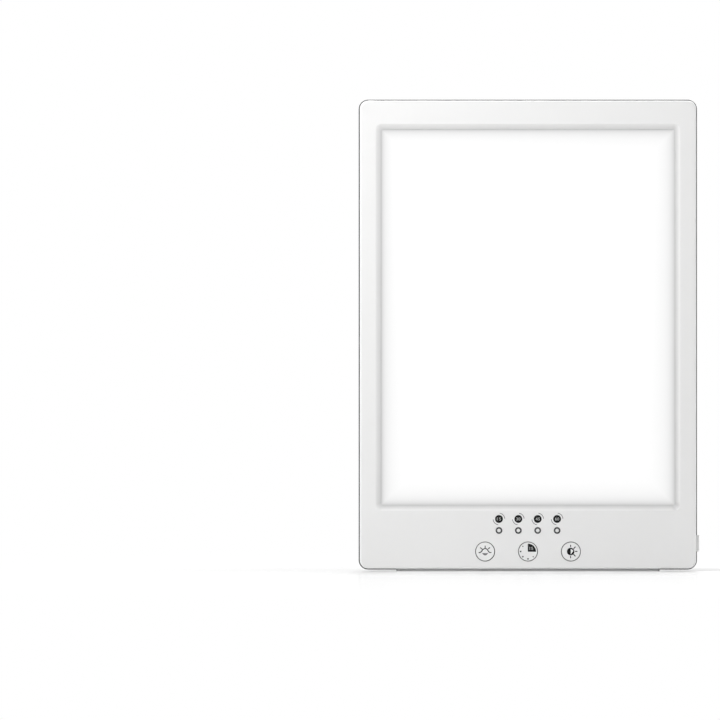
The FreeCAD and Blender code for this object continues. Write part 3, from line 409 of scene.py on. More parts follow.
def metal(name, rgb, roughness, squeeze, line_depth=0.002 * MM):
    """Drawn, brushed or plated metal, with lines along the axis that squeeze leaves small."""
    material, tree, shader = new_finish(name, roughness, 1.0)
    where = position(tree)
    lines = use_effect(tree, "Drawn lines", {"Position": where, "Squeeze": squeeze})
    patches = use_effect(tree, "Handled", {"Position": where, "Patch Size": 0.012})
    tree.links.new(mixed(tree, lines.outputs["Height"], shaded(rgb, 0.86), shaded(rgb, 1.08)),
                   shader.inputs["Base Color"])
    tree.links.new(mapped(tree, patches.outputs["Mask"], 0.0, 1.0, roughness, roughness + 0.1),
                   shader.inputs["Roughness"])
    bumped(tree, shader, lines.outputs["Height"], line_depth)
    arrange(tree)
    return material


def inside_window(tree, where):
    """How far a point is inside the clear window, or as a negative number outside it."""
    inside = use_effect(tree, "Distance inside", {
        "Position": where, "Half Width": DIFFUSER_HIGH.x - WINDOW_OVERLAP,
        "Half Height": (DIFFUSER_HIGH.z - DIFFUSER_LOW.z) / 2 - WINDOW_OVERLAP,
        "Middle": (DIFFUSER_HIGH.z + DIFFUSER_LOW.z) / 2})
    return inside.outputs["Distance"]


def fading(tree, distance, width, part):
    """A part that dies away with distance, to about a third of itself in one width."""
    faded = calc(tree, "EXPONENT", calc(tree, "DIVIDE", distance, -width))
    return calc(tree, "MULTIPLY", faded, part)


def slope_shade(tree, parts, inside):
    """Painted shade on the window's sloping rim, from 0 to 1: more towards the diffuser, and more at the
    right and below.
    """
    chosen = settings().case
    right = DIFFUSER_HIGH.x - WINDOW_OVERLAP
    below = DIFFUSER_LOW.z + WINDOW_OVERLAP
    side_blend = 2.0 * MM
    slope_start = FACE_Y + 0.2 * MM
    corner_start = FACE_Y + 0.05 * MM
    corner_end = FACE_Y + 0.4 * MM
    rim_limit = -RIM_WIDTH - RIM_MARGIN
    rim_blend = 0.3 * MM
    at_right = mapped(tree, parts.outputs["X"], right - side_blend, right)
    low_down = mapped(tree, parts.outputs["Z"], below + side_blend, below)
    further = calc(tree, "MULTIPLY", calc(tree, "MAXIMUM", at_right, low_down), chosen.far_shade)
    depth = mapped(tree, parts.outputs["Y"], slope_start, FACE_Y + RIM_DEPTH)
    down_the_rim = calc(tree, "MULTIPLY", depth, calc(tree, "ADD", further, chosen.rim_shade))
    past_the_crest = mapped(tree, parts.outputs["Y"], corner_start, corner_end, 0.0, chosen.corner_shade)
    in_the_corner = calc(tree, "MULTIPLY", past_the_crest, calc(tree, "MULTIPLY", at_right, low_down))
    on_the_rim = mapped(tree, inside, rim_limit - rim_blend, rim_limit + rim_blend)
    return calc(tree, "MULTIPLY", on_the_rim, calc(tree, "ADD", down_the_rim, in_the_corner))


def rounded_edge(tree, parts, inside):
    """Where the painted highlight goes, from 0 to 1: the case's rounded front edge."""
    square_on, turned_away = -0.97, -0.80
    edge_limit = -RIM_WIDTH - FLAT_MARGIN
    edge_blend = 0.5 * MM
    facing = place(tree, "SeparateXYZ", {0: place(tree, "NewGeometry").outputs["Normal"]}).outputs["Y"]
    turned = mapped(tree, facing, square_on, turned_away)
    front = mapped(tree, parts.outputs["Y"], FACE_Y + EDGE_DEPTH, FACE_Y + 1.4 * EDGE_DEPTH, 1.0, 0.0)
    outer = mapped(tree, inside, edge_limit - edge_blend, edge_limit + edge_blend, 1.0, 0.0)
    return calc(tree, "MULTIPLY", turned, calc(tree, "MULTIPLY", front, outer))


def case_plastic():
    """White moulded plastic, with painted shade down the window's sloping rim and a painted highlight along
    the rounded outer edge.
    """
    chosen = settings().case
    material = plastic("White moulded plastic", tuple(chosen.case_colour), 0.42, chosen.grain_size,
                       chosen.grain_depth, drift=0.006, dust=0.04, Coat_Weight=0.35, Coat_Roughness=0.2)
    tree = material.node_tree
    base = tree.nodes["Principled BSDF"].inputs["Base Color"]
    where = position(tree)
    parts = place(tree, "SeparateXYZ", {0: where})
    inside = inside_window(tree, where)
    # Painted shade: the sloping rim's colour is darkened towards black.
    grey = mixed(tree, slope_shade(tree, parts, inside), base.links[0].from_socket, (0.0, 0.0, 0.0))
    # Painted highlight: the rounded outer edge is paled towards white.
    tree.links.new(mixed(tree, rounded_edge(tree, parts, inside), grey, tuple(chosen.edge_colour)), base)
    arrange(tree)
    return material


def key_plastic():
    """Smooth white plastic, with a thin line of painted shade round the front of each of the three keys, for
    the shadow in the gap round each key.
    """
    chosen = settings().case
    material = plastic("Smooth white key plastic", tuple(chosen.key_colour), 0.34, 0.5 * MM, 0.001 * MM,
                       drift=0.006)
    tree = material.node_tree
    base = tree.nodes["Principled BSDF"].inputs["Base Color"]
    parts = place(tree, "SeparateXYZ", {0: position(tree)})
    middle = key_front("timer")
    pitch = key_front("brightness").x - middle.x
    turns = calc(tree, "DIVIDE", calc(tree, "SUBTRACT", parts.outputs["X"], middle.x - pitch / 2), pitch)
    aside = calc(tree, "MULTIPLY", calc(tree, "SUBTRACT", calc(tree, "FRACT", turns), 0.5), pitch)
    rise = calc(tree, "SUBTRACT", parts.outputs["Z"], middle.z)
    reach = calc(tree, "SQRT", calc(tree, "ADD", calc(tree, "MULTIPLY", aside, aside),
                                    calc(tree, "MULTIPLY", rise, rise)))
    start = KEY_FRONT_RADIUS - chosen.key_line
    edge = mapped(tree, reach, start, start + 0.02 * MM)
    # Painted shade: the key's rim is darkened to the colour of the gap's shadow.
    tree.links.new(mixed(tree, edge, base.links[0].from_socket, tuple(chosen.key_line_colour)), base)
    arrange(tree)
    return material


def lit_opal():
    """The lit diffuser: opal sheet that glows evenly, a little less along the window's edges."""
    chosen = settings().panel
    material, tree, shader = new_finish("Lit opal sheet", 0.45, Emission_Strength=chosen.glow, IOR=1.49)
    where = position(tree)
    falls = [fading(tree, inside_window(tree, where), width, part) for width, part in (
        (chosen.edge_width, chosen.edge_fall), (chosen.border_width, chosen.border_fall))]
    tree.links.new(mixed(tree, calc(tree, "ADD", *falls), tuple(chosen.light_colour), (0.0, 0.0, 0.0)),
                   shader.inputs["Emission Color"])
    grain = use_effect(tree, "Moulded grain", {"Position": where, "Grain Size": 0.25 * MM})
    opal = tuple(chosen.opal_colour)
    tree.links.new(mixed(tree, grain.outputs["Drift"], shaded(opal, 0.98), shaded(opal, 1.02)),
                   shader.inputs["Base Color"])
    bumped(tree, shader, grain.outputs["Height"], 0.001 * MM)
    arrange(tree)
    return material


def clear_guide():
    """Clear acrylic with the grid of tiny dots that turns its light forwards."""
    material, tree, shader = new_finish("Dotted light guide", 0.08, Transmission_Weight=0.92, IOR=1.49)
    where = position(tree)
    parts = place(tree, "SeparateXYZ", {0: where})
    turns = [calc(tree, "DIVIDE", parts.outputs[axis], GUIDE_DOT_PITCH) for axis in ("X", "Z")]
    across, up = (calc(tree, "SUBTRACT", calc(tree, "FRACT", turn), 0.5) for turn in turns)
    reach = calc(tree, "SQRT", calc(tree, "ADD", calc(tree, "POWER", across, 2.0),
                                    calc(tree, "POWER", up, 2.0)))
    dots = mapped(tree, reach, 0.22, 0.30, 1.0, 0.0)
    clear, milky = (0.93, 0.95, 0.95), (0.95, 0.95, 0.93)
    tree.links.new(mixed(tree, dots, clear, milky), shader.inputs["Base Color"])
    tree.links.new(mapped(tree, dots, 0.0, 1.0, 0.05, 0.6), shader.inputs["Roughness"])
    arrange(tree)
    return material


def lamp_package():
    """White lamp packages, each with a yellow phosphor window."""
    low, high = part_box("led_row_left")
    pitch = (high.z - low.z - LAMP_PACKAGE) / (LAMPS_PER_ROW - 1)
    material, tree, shader = new_finish("Lamp packages", 0.4)
    parts = place(tree, "SeparateXYZ", {0: position(tree)})
    rise = calc(tree, "SUBTRACT", parts.outputs["Z"], low.z)
    turn = calc(tree, "FRACT", calc(tree, "DIVIDE", rise, pitch))
    window_middle = 0.3
    from_middle = calc(tree, "ABSOLUTE", calc(tree, "SUBTRACT", turn, window_middle))
    along = mapped(tree, from_middle, 0.20, 0.22, 1.0, 0.0)
    aside = calc(tree, "ABSOLUTE", calc(tree, "SUBTRACT", parts.outputs["Y"], (low.y + high.y) / 2))
    across = mapped(tree, aside, 0.45 * MM, 0.5 * MM, 1.0, 0.0)
    window = calc(tree, "MULTIPLY", along, across)
    white, yellow = (0.80, 0.80, 0.78), (0.80, 0.66, 0.14)
    tree.links.new(mixed(tree, window, white, yellow), shader.inputs["Base Color"])
    tree.links.new(mapped(tree, window, 0.0, 1.0, 0.4, 0.65), shader.inputs["Roughness"])
    arrange(tree)
    return material


def board_finish(name, rgb, track_rgb, cell):
    """A circuit board: lacquer over tracks that run square to each other."""
    material, tree, shader = new_finish(name, 0.35)
    where = position(tree)
    cells = place(tree, "TexVoronoi", {"Vector": where, "Scale": 1.0 / cell, "Randomness": 0.85},
                  feature="F1", distance="CHEBYCHEV")
    tracks = mapped(tree, cells.outputs["Distance"], 0.40, 0.44)
    tree.links.new(mixed(tree, tracks, rgb, track_rgb), shader.inputs["Base Color"])
    bumped(tree, shader, tracks, 0.03 * MM)
    arrange(tree)
    return material


def coated_steel():
    """Powder coated steel: the dimpled skin of the coating, with a slow drift of tone."""
    rgb = tuple(settings().case.foot_colour)
    material, tree, shader = new_finish("Powder coated steel", 0.5)
    where = position(tree)
    skin = use_effect(tree, "Moulded grain", {"Position": where, "Grain Size": 0.55 * MM, "Drift Size": 0.08})
    patches = use_effect(tree, "Handled", {"Position": where, "Patch Size": 0.02})
    dimples = place(tree, "TexVoronoi", {"Vector": where, "Scale": 1100.0}, feature="SMOOTH_F1")
    height = calc(tree, "ADD", skin.outputs["Height"], dimples.outputs["Distance"])
    tone = mixed(tree, skin.outputs["Drift"], shaded(rgb, 0.93), shaded(rgb, 1.07))
    tree.links.new(tone, shader.inputs["Base Color"])
    tree.links.new(mapped(tree, patches.outputs["Mask"], 0.0, 1.0, 0.52, 0.40), shader.inputs["Roughness"])
    bumped(tree, shader, height, 0.012 * MM)
    arrange(tree)
    return material


# Giving the solids their finishes

def dress(material, *names):
    """Gives solids one finish."""
    for name in names:
        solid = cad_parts[name]
        if not solid.material_slots:
            raise RuntimeError(name + " has no place for a finish")
        for slot in solid.material_slots:
            slot.material = material


class LAMP_OT_case(bpy.types.Operator):
    """Finish the white front frame, the grey back cover and the rubber strip under them"""
    bl_idname = "lamp.case"
    bl_label = "Case"
    bl_options = {"REGISTER", "UNDO"}

    def execute(self, context):
        chosen = settings().case
        dress(case_plastic(), "front_frame")
        dress(plastic("Grey textured plastic", tuple(chosen.cover_colour), 0.62, 0.6 * MM, 0.02 * MM,
                      dust=0.10), "rear_cover")
        dress(plastic("Grey strip rubber", tuple(chosen.strip_colour), 0.82, 0.5 * MM, 0.02 * MM),
              "base_strip")
        return {"FINISHED"}


class LAMP_OT_panel(bpy.types.Operator):
    """Finish the lit diffuser and the layers and lamps behind it"""
    bl_idname = "lamp.panel"
    bl_label = "Lit panel"
    bl_options = {"REGISTER", "UNDO"}

    def execute(self, context):
        dress(lit_opal(), "diffuser")
        dress(plastic("Gasket foam", (0.03, 0.03, 0.03), 0.95, 0.3 * MM, 0.05 * MM), "panel_gasket")
        dress(clear_guide(), "light_guide")
        dress(plastic("Reflector film", (0.90, 0.90, 0.90), 0.25, 0.8 * MM, 0.002 * MM, drift=0.01),
              "reflector_sheet")
        dress(metal("Rolled aluminium", (0.80, 0.80, 0.81), 0.32, (60.0, 2500.0, 2500.0)), "back_pan")
        dress(board_finish("White lamp board", (0.78, 0.78, 0.76), (0.70, 0.70, 0.68), 2.5 * MM),
              *("led_board_" + side for side in SIDES))
        dress(lamp_package(), *("led_row_" + side for side in SIDES))
        return {"FINISHED"}


class LAMP_OT_controls(bpy.types.Operator):
    """Finish the keys, the indicators and the power button"""
    bl_idname = "lamp.controls"
    bl_label = "Keys, indicators and power button"
    bl_options = {"REGISTER", "UNDO"}

    def execute(self, context):
        chosen = settings().case
        places = range(1, len(TIMER_MINUTES) + 1)
        dress(key_plastic(), *(key + "_key" for key in KEYS))
        # Painted light: the button's paler white makes up for the shade it sits in.
        dress(plastic("White button plastic", tuple(chosen.button_colour), 0.36, 0.4 * MM, 0.002 * MM,
                      drift=0.01), "power_button")
        dress(plastic("Dark grey rings", tuple(chosen.ring_colour), 0.38, 0.3 * MM, 0.002 * MM),
              *("indicator_ring_%d" % i for i in places))
        dress(plastic("Milky light pipes", (0.80, 0.80, 0.79), 0.2, 0.4 * MM, 0.001 * MM, drift=0.01,
                      Coat_Weight=0.5, Coat_Roughness=0.1), *("light_pipe_%d" % i for i in places))
        dress(plastic("Switch bodies", (0.02, 0.02, 0.021), 0.5, 0.4 * MM, 0.006 * MM),
              "power_switch", *(key + "_switch" for key in KEYS))
        dress(plastic("Natural nylon", (0.62, 0.60, 0.54), 0.45, 0.5 * MM, 0.004 * MM),
              "power_plunger", *(key + "_plunger" for key in KEYS))
        return {"FINISHED"}


class LAMP_OT_electrics(bpy.types.Operator):
    """Finish the control board, what is on it, the power inlet and the leads"""
    bl_idname = "lamp.electrics"
    bl_label = "Board, inlet and leads"
    bl_options = {"REGISTER", "UNDO"}

    def execute(self, context):
        dress(board_finish("Green control board", (0.012, 0.10, 0.035), (0.02, 0.16, 0.06), 2.2 * MM),
              "control_board")
        dress(plastic("Chip moulding", (0.018, 0.018, 0.018), 0.55, 0.15 * MM, 0.004 * MM),
              "driver_chip", "power_socket")
        dress(plastic("Pressed ferrite", (0.06, 0.058, 0.056), 0.8, 0.3 * MM, 0.03 * MM), "boost_inductor")
        dress(metal("Capacitor cans", (0.75, 0.76, 0.78), 0.28, (900.0, 60.0, 900.0)), "smoothing_capacitors")
        dress(plastic("Indicator lamps", (0.75, 0.74, 0.66), 0.3, 0.3 * MM, 0.001 * MM), "indicator_lamps")
        dress(plastic("Connector nylon", (0.72, 0.70, 0.63), 0.45, 0.3 * MM, 0.004 * MM), "lead_connectors")
        dress(metal("Nickel plate", (0.72, 0.69, 0.62), 0.2, (60.0, 3000.0, 3000.0), 0.001 * MM),
              "power_socket_pin")
        dress(plastic("Red lead jacket", (0.36, 0.016, 0.014), 0.35, 0.4 * MM, 0.004 * MM),
              *("led_lead_" + side for side in SIDES))
        dress(plastic("Black lead jacket", (0.014, 0.014, 0.015), 0.35, 0.4 * MM, 0.004 * MM), "switch_lead")
        return {"FINISHED"}


class LAMP_OT_foot(bpy.types.Operator):
    """Finish the fold-out foot, its pads, pins and spring sleeves, and the screws"""
    bl_idname = "lamp.foot"
    bl_label = "Foot and fasteners"
    bl_options = {"REGISTER", "UNDO"}

    def execute(self, context):
        dress(coated_steel(), "stand_plate")
        dress(plastic("Pad rubber", (0.02, 0.02, 0.021), 0.85, 0.5 * MM, 0.03 * MM),
              *("stand_pad_" + side for side in SIDES))
        dress(metal("Ground steel pins", (0.55, 0.55, 0.56), 0.24, (4000.0, 400.0, 400.0)),
              *("hinge_pin_" + side for side in SIDES))
        dress(metal("Spring steel sleeves", (0.36, 0.36, 0.38), 0.34, (500.0, 3000.0, 3000.0)),
              *("friction_sleeve_" + side for side in SIDES))
        dress(metal("Zinc plated screws", (0.60, 0.61, 0.63), 0.3, (900.0, 200.0, 900.0)),
              "case_screws", "board_screws")
        return {"FINISHED"}


# Outlines, in millimetres round the middle of a mark

def arc(middle, radius, start, end):
    """Points along an arc from one angle to another, in degrees."""
    steps = max(4, round(abs(end - start) / 360.0 * ARC_STEPS_PER_TURN))
    angles = [math.radians(start + (end - start) * i / steps) for i in range(steps + 1)]
    return [(middle[0] + radius * math.cos(a), middle[1] + radius * math.sin(a)) for a in angles]


def disc(middle, radius):
    """A full circle."""
    return arc(middle, radius, 0.0, 360.0)[:-1]


def band(middle, outer, inner, start, end):
    """Part of a ring."""
    return arc(middle, outer, start, end) + arc(middle, inner, end, start)


def line(points, width):
    """A drawn line with rounded ends."""
    half = width / 2
    along = [Vector(b) - Vector(a) for a, b in zip(points, points[1:])]
    angles = [math.degrees(math.atan2(step.y, step.x)) for step in along]
    left = []
    right = []
    for i, point in enumerate(points):
        before = along[max(i - 1, 0)].normalized()
        after = along[min(i, len(along) - 1)].normalized()
        forward = (before + after).normalized()
        aside = Vector((-forward.y, forward.x)) * half / max(forward.dot(after), 0.5)
        left.append((point[0] + aside.x, point[1] + aside.y))
        right.append((point[0] - aside.x, point[1] - aside.y))
    tip = arc(points[-1], half, angles[-1] - 90.0, angles[-1] + 90.0)
    tail = arc(points[0], half, angles[0] + 90.0, angles[0] + 270.0)
    return right[1:-1] + tip + left[1:-1][::-1] + tail


def flowing(points):
    """A smooth line through a few points."""
    steps = 6
    ends = [points[0]] + list(points) + [points[-1]]
    flow = []
    for a, b, c, d in zip(ends, ends[1:], ends[2:], ends[3:]):
        a, b, c, d = (Vector(p) for p in (a, b, c, d))
        for i in range(steps):
            t = i / steps
            spot = 0.5 * (2 * b + (c - a) * t + (2 * a - 5 * b + 4 * c - d) * t ** 2
                          + (3 * b - a - 3 * c + d) * t ** 3)
            flow.append((spot.x, spot.y))
    return flow + [tuple(points[-1])]


def bowed(start, end, dip):
    """A shallow arc from one point to another that dips in its middle."""
    steps = 16
    return [(start[0] + (end[0] - start[0]) * i / steps,
             start[1] + (end[1] - start[1]) * i / steps - 4 * dip * i / steps * (1 - i / steps))
            for i in range(steps + 1)]


def quarter(apex, radius, corner):
    """A quarter of a disc, up and to the right of its apex, with rounded corners."""
    reach = math.sqrt((radius - corner) ** 2 - corner ** 2)
    lean = math.degrees(math.atan2(corner, reach))
    low = (apex[0] + reach, apex[1] + corner)
    high = (apex[0] + corner, apex[1] + reach)
    root = (apex[0] + corner, apex[1] + corner)
    return (arc(low, corner, -90.0, lean)[:-1] + arc(apex, radius, lean, 90.0 - lean)
            + arc(high, corner, 90.0 - lean, 180.0)[1:] + arc(root, corner, 180.0, 270.0))


# Printing

def added(name, data):
    """A new object in the scene."""
    holder = bpy.data.objects.new(name, data)
    bpy.context.scene.collection.objects.link(holder)
    return holder


def on_body(name, mesh, ink, body):
    """Puts a finished mesh of ink in the scene as a piece that moves with a body."""
    setting, slot = INKS[ink]
    rgb = getattr(settings().marks, setting)
    material = bpy.data.materials.get(ink) or plastic(ink, rgb, 0.5, 0.2 * MM, 0.001 * MM, drift=0.02,
                                                      Specular_IOR_Level=0.15)
    piece = added(name, mesh)
    mesh.materials.append(material)
    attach(piece, body)


def printed(name, outlines, carrier, ink, body):
    """Closed layers of ink with the given outlines, round a place on the surface that carries them."""
    thick = settings().marks.ink_thickness
    front = carrier.y - thick
    back = front + thick + PRINT_SUNK
    shape = bmesh.new()
    for outline in outlines:
        rings = [[shape.verts.new((carrier.x + u * MM, y, carrier.z + v * MM)) for u, v in outline]
                 for y in (front, back)]
        shape.faces.new(rings[0])
        shape.faces.new(rings[1][::-1])
        for i in range(len(outline)):
            j = (i + 1) % len(outline)
            shape.faces.new((rings[0][j], rings[0][i], rings[1][i], rings[1][j]))
    bmesh.ops.triangulate(shape, faces=[f for f in shape.faces if len(f.verts) > 4])
    bmesh.ops.recalc_face_normals(shape, faces=shape.faces[:])
    mesh = bpy.data.meshes.new(name)
    shape.to_mesh(mesh)
    shape.free()
    on_body(name, mesh, ink, body)


def number(name, text, width, height, carrier, middle, body):
    """A number of a given width and height, printed over a layer of ink, with its middle where it's asked."""
    thick = settings().marks.ink_thickness
    letters = bpy.data.curves.new(name + "_letters", "FONT")
    letters.body = str(text)
    letters.extrude = 0.5
    letters.offset = 0.012
    letters.space_character = 1.05
    holder = added(name + "_letters", letters)
    bpy.context.view_layer.update()
    mesh = bpy.data.meshes.new_from_object(holder)
    bpy.data.objects.remove(holder)
    bpy.data.curves.remove(letters)
    mesh.name = name
    shape = bmesh.new()
    shape.from_mesh(mesh)
    bmesh.ops.remove_doubles(shape, verts=shape.verts[:], dist=1e-5)
    low = [min(v.co[axis] for v in shape.verts) for axis in range(3)]
    high = [max(v.co[axis] for v in shape.verts) for axis in range(3)]
    front = carrier.y - 2 * thick
    for vert in shape.verts:
        across, up, out = ((vert.co[axis] - low[axis]) / (high[axis] - low[axis]) for axis in range(3))
        vert.co = (carrier.x + middle[0] * MM + (across - 0.5) * width, front + (1.0 - out) * thick,
                   carrier.z + middle[1] * MM + (up - 0.5) * height)
    bmesh.ops.recalc_face_normals(shape, faces=shape.faces[:])
    mesh.materials.clear()
    shape.to_mesh(mesh)
    shape.free()
    on_body(name, mesh, "White ink", body)


def key_front(key):
    """The middle of a key's front."""
    low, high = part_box(key + "_key")
    return Vector(((low.x + high.x) / 2, low.y, (low.z + high.z) / 2))


def key_mark(key, part, outlines, ink="Black ink"):
    """One part of the mark on a key, which moves with it."""
    printed(key + "_mark_" + part, outlines, key_front(key), ink, key + "_button")


class LAMP_OT_timer_badges(bpy.types.Operator):
    """Print the black dots with the minutes and the two thin arcs round each"""
    bl_idname = "lamp.timer_badges"
    bl_label = "Timer dots"
    bl_options = {"REGISTER", "UNDO"}

    def execute(self, context):
        chosen = settings().marks
        middle = (0.0, 0.0)
        outer = (chosen.arc_radius + chosen.arc_width / 2) / MM
        inner = (chosen.arc_radius - chosen.arc_width / 2) / MM
        dot = disc(middle, chosen.badge_diameter / MM / 2)
        arcs = [band(middle, outer, inner, start, start + ARC_TURN) for start in ARC_STARTS]
        for i, minutes in enumerate(TIMER_MINUTES):
            low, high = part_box("indicator_ring_%d" % (i + 1))
            carrier = Vector(((low.x + high.x) / 2, FACE_Y, (low.z + high.z) / 2 + chosen.badge_rise))
            tag = "_%d" % minutes
            printed("timer_dot" + tag, [dot], carrier, "Black ink", "case")
            printed("timer_arcs" + tag, arcs, carrier, "Grey ink", "case")
            number("timer_number" + tag, minutes, chosen.badge_number_width, chosen.badge_number_height,
                   carrier, middle, "case")
        return {"FINISHED"}


class LAMP_OT_mode_mark(bpy.types.Operator):
    """Print the mark on the mode key: a sunrise over a crescent"""
    bl_idname = "lamp.mode_mark"
    bl_label = "Mode mark"
    bl_options = {"REGISTER", "UNDO"}

    def execute(self, context):
        width = settings().marks.line_width / MM
        brow = flowing(((-3.2, -0.51), (-2.67, -0.51), (-1.74, 0.21), (-1.4, 0.97), (-0.64, 1.4), (0.0, 1.62),
                        (0.72, 1.4), (1.23, 0.97), (1.78, 0.04), (2.5, -0.51), (3.1, -0.51)))
        rays = [line(ends, width) for ends in (((0.0, 2.0), (0.0, 2.9)), ((-1.78, 1.5), (-2.46, 1.99)),
                                               ((1.66, 1.5), (2.37, 1.99)))]
        left, right = (-1.65, -0.80), (1.65, -0.80)
        crescent = bowed(left, right, 0.05) + bowed(left, right, 1.25)[::-1][1:-1]
        key_mark("mode", "brow", [line(brow, width)])
        key_mark("mode", "rays", rays)
        key_mark("mode", "crescent", [crescent], "Pale grey ink")
        return {"FINISHED"}


class LAMP_OT_timer_mark(bpy.types.Operator):
    """Print the mark on the timer key: a quarter hour and five dots"""
    bl_idname = "lamp.timer_mark"
    bl_label = "Timer key mark"
    bl_options = {"REGISTER", "UNDO"}

    def execute(self, context):
        apex, radius, corner = (-0.1, -0.15), 4.36, 0.3
        ring, dot, small_dot = 3.9, 0.42, 0.34
        width, height, middle = 1.9 * MM, 1.6 * MM, (1.75, 1.65)
        spots = {angle: (ring * math.cos(math.radians(angle)), ring * math.sin(math.radians(angle)))
                 for angle in (135, 180, 225, 270, 315)}
        key_mark("timer", "quarter", [quarter(apex, radius, corner)])
        key_mark("timer", "dots", [disc(spots[angle], dot) for angle in (180, 225, 270)])
        key_mark("timer", "small_dots", [disc(spots[angle], small_dot) for angle in (135, 315)], "Grey ink")
        number("timer_mark_number", TIMER_MINUTES[0], width, height, key_front("timer"), middle,
               "timer_button")
        return {"FINISHED"}


class LAMP_OT_brightness_mark(bpy.types.Operator):
    """Print the mark on the brightness key: a half filled sun"""
    bl_idname = "lamp.brightness_mark"
    bl_label = "Brightness mark"
    bl_options = {"REGISTER", "UNDO"}

    def execute(self, context):
        width = settings().marks.line_width / MM
        middle = (-0.12, 0.0)
        radius = 2.0
        key_mark("brightness", "dark_half", [arc(middle, radius, 90.0, 270.0)])
        key_mark("brightness", "light_half", [band(middle, radius, radius - width, -90.0, 90.0)])
        rays = [line(ends, width) for ends in (
            ((-0.14, 2.6), (-0.14, 3.35)), ((1.56, 1.66), (2.3, 2.4)), ((2.4, 0.08), (3.25, 0.08)),
            ((1.5, -1.56), (2.3, -2.44)), ((-0.18, -2.5), (-0.18, -3.35)))]
        key_mark("brightness", "rays", rays)
        return {"FINISHED"}


# Studio

def seen_rays(tree, path):
    """1 for what the eye sees, directly, in a reflection or through something clear, and 0 for soft light."""
    return calc(tree, "MAXIMUM", path.outputs["Is Camera Ray"],
                calc(tree, "MAXIMUM", path.outputs["Is Glossy Ray"], path.outputs["Is Transmission Ray"]))


def floor_finish():
    """A pale floor that is shaded round the lamp and fades to the white of the background."""
    chosen = settings().studio
    material, tree, shader = new_finish("Pale floor", 0.7, Specular_IOR_Level=0.1)
    where = position(tree)
    drift = noise(tree, where, scale=6.0)
    rgb = tuple(chosen.floor_colour)
    tree.links.new(mixed(tree, drift, shaded(rgb, 0.995), shaded(rgb, 1.005)), shader.inputs["Base Color"])
    reach = place(tree, "VectorMath", {0: where}, operation="LENGTH").outputs["Value"]
    faded = place(tree, "MapRange", {"Value": reach, "From Min": chosen.shade_start,
                                     "From Max": chosen.shade_radius},
                  interpolation_type="SMOOTHERSTEP").outputs["Result"]
    path = place(tree, "LightPath")
    seen = seen_rays(tree, path)
    white = place(tree, "Emission", {"Color": (1.0, 1.0, 1.0, 1.0), "Strength": 1.0})
    blend = place(tree, "MixShader", {0: calc(tree, "MULTIPLY", faded, seen), 1: shader.outputs[0],
                                      2: white.outputs[0]})
    sheen = mapped(tree, reach, 0.0, chosen.sheen_radius, chosen.sheen, 0.0)
    mirror = place(tree, "BsdfGlossy", {"Color": (1.0, 1.0, 1.0, 1.0), "Roughness": chosen.sheen_roughness})
    polished = place(tree, "MixShader", {0: calc(tree, "MULTIPLY", sheen, path.outputs["Is Camera Ray"]),
                                         1: blend.outputs[0], 2: mirror.outputs[0]})
    tree.links.new(polished.outputs[0], tree.nodes["Material Output"].inputs["Surface"])
    arrange(tree)
    return material


def floor():
    """A round floor under the lamp."""
    radius = settings().studio.floor_radius
    shape = bmesh.new()
    bmesh.ops.create_circle(shape, cap_ends=True, segments=96, radius=radius)
    mesh = bpy.data.meshes.new("floor")
    shape.to_mesh(mesh)
    shape.free()
    mesh.materials.append(floor_finish())
    piece = added("floor", mesh)


def soft_light(name, spot, target, size, watts):
    """A square soft light that shines from a spot at a target and isn't seen itself."""
    lamp = bpy.data.lights.new(name, "AREA")
    lamp.shape = "SQUARE"
    lamp.size = size
    lamp.energy = watts
    holder = added(name, lamp)
    holder.location = spot
    holder.rotation_euler = (Vector(target) - Vector(spot)).to_track_quat("-Z", "Y").to_euler()
    holder.visible_camera = False


def surround():
    """White behind the lamp for the eye, and an even softer light from all round."""
    world = bpy.data.worlds.new("Surround")
    world.use_nodes = True
    tree = world.node_tree
    tree.nodes.clear()
    seen = seen_rays(tree, place(tree, "LightPath"))
    strength = mapped(tree, seen, 0.0, 1.0, settings().studio.surround, 1.0)
    light = place(tree, "Background", {"Color": (1.0, 1.0, 1.0, 1.0), "Strength": strength})
    output = place(tree, "OutputWorld", {"Surface": light.outputs[0]})
    output.is_active_output = True
    arrange(tree)
    bpy.context.scene.world = world


def camera():
    """The camera, square to the lit face."""
    chosen = settings().studio
    data = bpy.data.cameras.new("Camera")
    data.sensor_width = 36.0
    data.lens = chosen.camera_lens
    data.clip_end = 100.0
    holder = added("Camera", data)
    holder.location = (-chosen.camera_left, FACE_Y - chosen.camera_distance, chosen.camera_height)
    holder.rotation_euler = (math.radians(90.0), 0.0, 0.0)
    bpy.context.scene.camera = holder


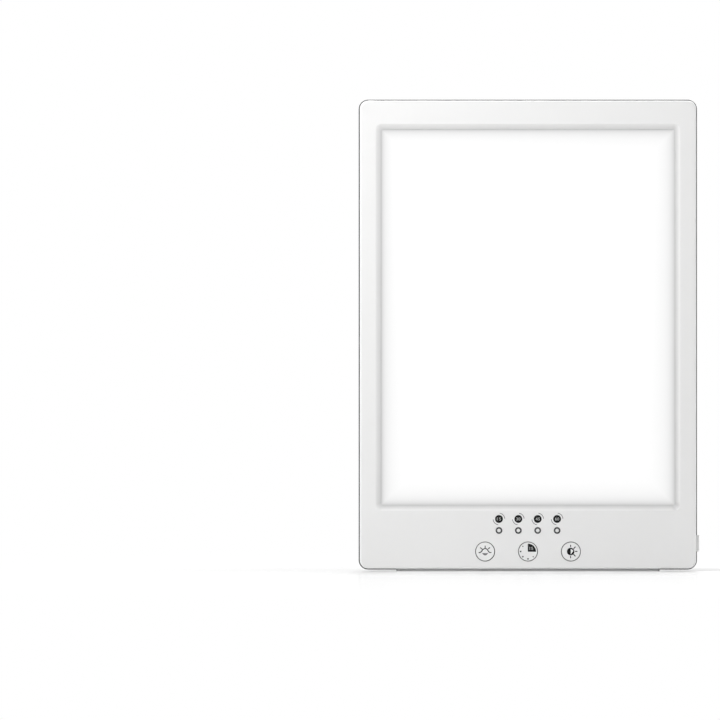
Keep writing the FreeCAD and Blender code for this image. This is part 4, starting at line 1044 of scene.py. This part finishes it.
class LAMP_OT_studio(bpy.types.Operator):
    """Set up the floor, the soft lights, the white surround and the camera"""
    bl_idname = "lamp.studio"
    bl_label = "Studio"
    bl_options = {"REGISTER", "UNDO"}

    def execute(self, context):
        chosen = settings().studio
        middle = (0.0, 0.0, (FACE_LOW.z + FACE_HIGH.z) / 2)
        floor()
        for name, spot, size, setting in LIGHTS:
            soft_light(name, spot, middle, size, getattr(chosen, setting))
        surround()
        camera()
        bpy.context.scene.view_settings.view_transform = "Standard"
        return {"FINISHED"}


STEPS = (LAMP_OT_case, LAMP_OT_panel, LAMP_OT_controls, LAMP_OT_electrics, LAMP_OT_foot, LAMP_OT_timer_badges,
         LAMP_OT_mode_mark, LAMP_OT_timer_mark, LAMP_OT_brightness_mark, LAMP_OT_studio)


class LAMP_PT_sidebar(bpy.types.Panel):
    """The lamp's settings and steps, in the order that they run"""
    bl_idname = "LAMP_PT_sidebar"
    bl_label = "Light therapy lamp"
    bl_space_type = "VIEW_3D"
    bl_region_type = "UI"
    bl_category = "Lamp"

    def draw(self, context):
        column = self.layout.column(align=True)
        for step in STEPS:
            column.operator(step.bl_idname)
        for group in ("case", "panel", "marks", "studio"):
            chosen = getattr(settings(), group)
            box = self.layout.box()
            box.label(text=LampSettings.bl_rna.properties[group].name)
            for key in chosen.__annotations__:
                box.prop(chosen, key)


GROUPS = (CaseSettings, PanelSettings, MarkSettings, StudioSettings, LampSettings)


def register():
    """Registers the settings, the steps and the sidebar."""
    for item in GROUPS + STEPS + (LAMP_PT_sidebar,):
        bpy.utils.register_class(item)
    bpy.types.Scene.lamp_settings = PointerProperty(type=LampSettings)


def unregister():
    """Takes them away again."""
    del bpy.types.Scene.lamp_settings
    for item in reversed(GROUPS + STEPS + (LAMP_PT_sidebar,)):
        bpy.utils.unregister_class(item)


def main():
    """Registers everything and runs every step in order."""
    register()
    for step in STEPS:
        group, name = step.bl_idname.split(".")
        getattr(getattr(bpy.ops, group), name)()


if __name__ == "__main__":
    main()
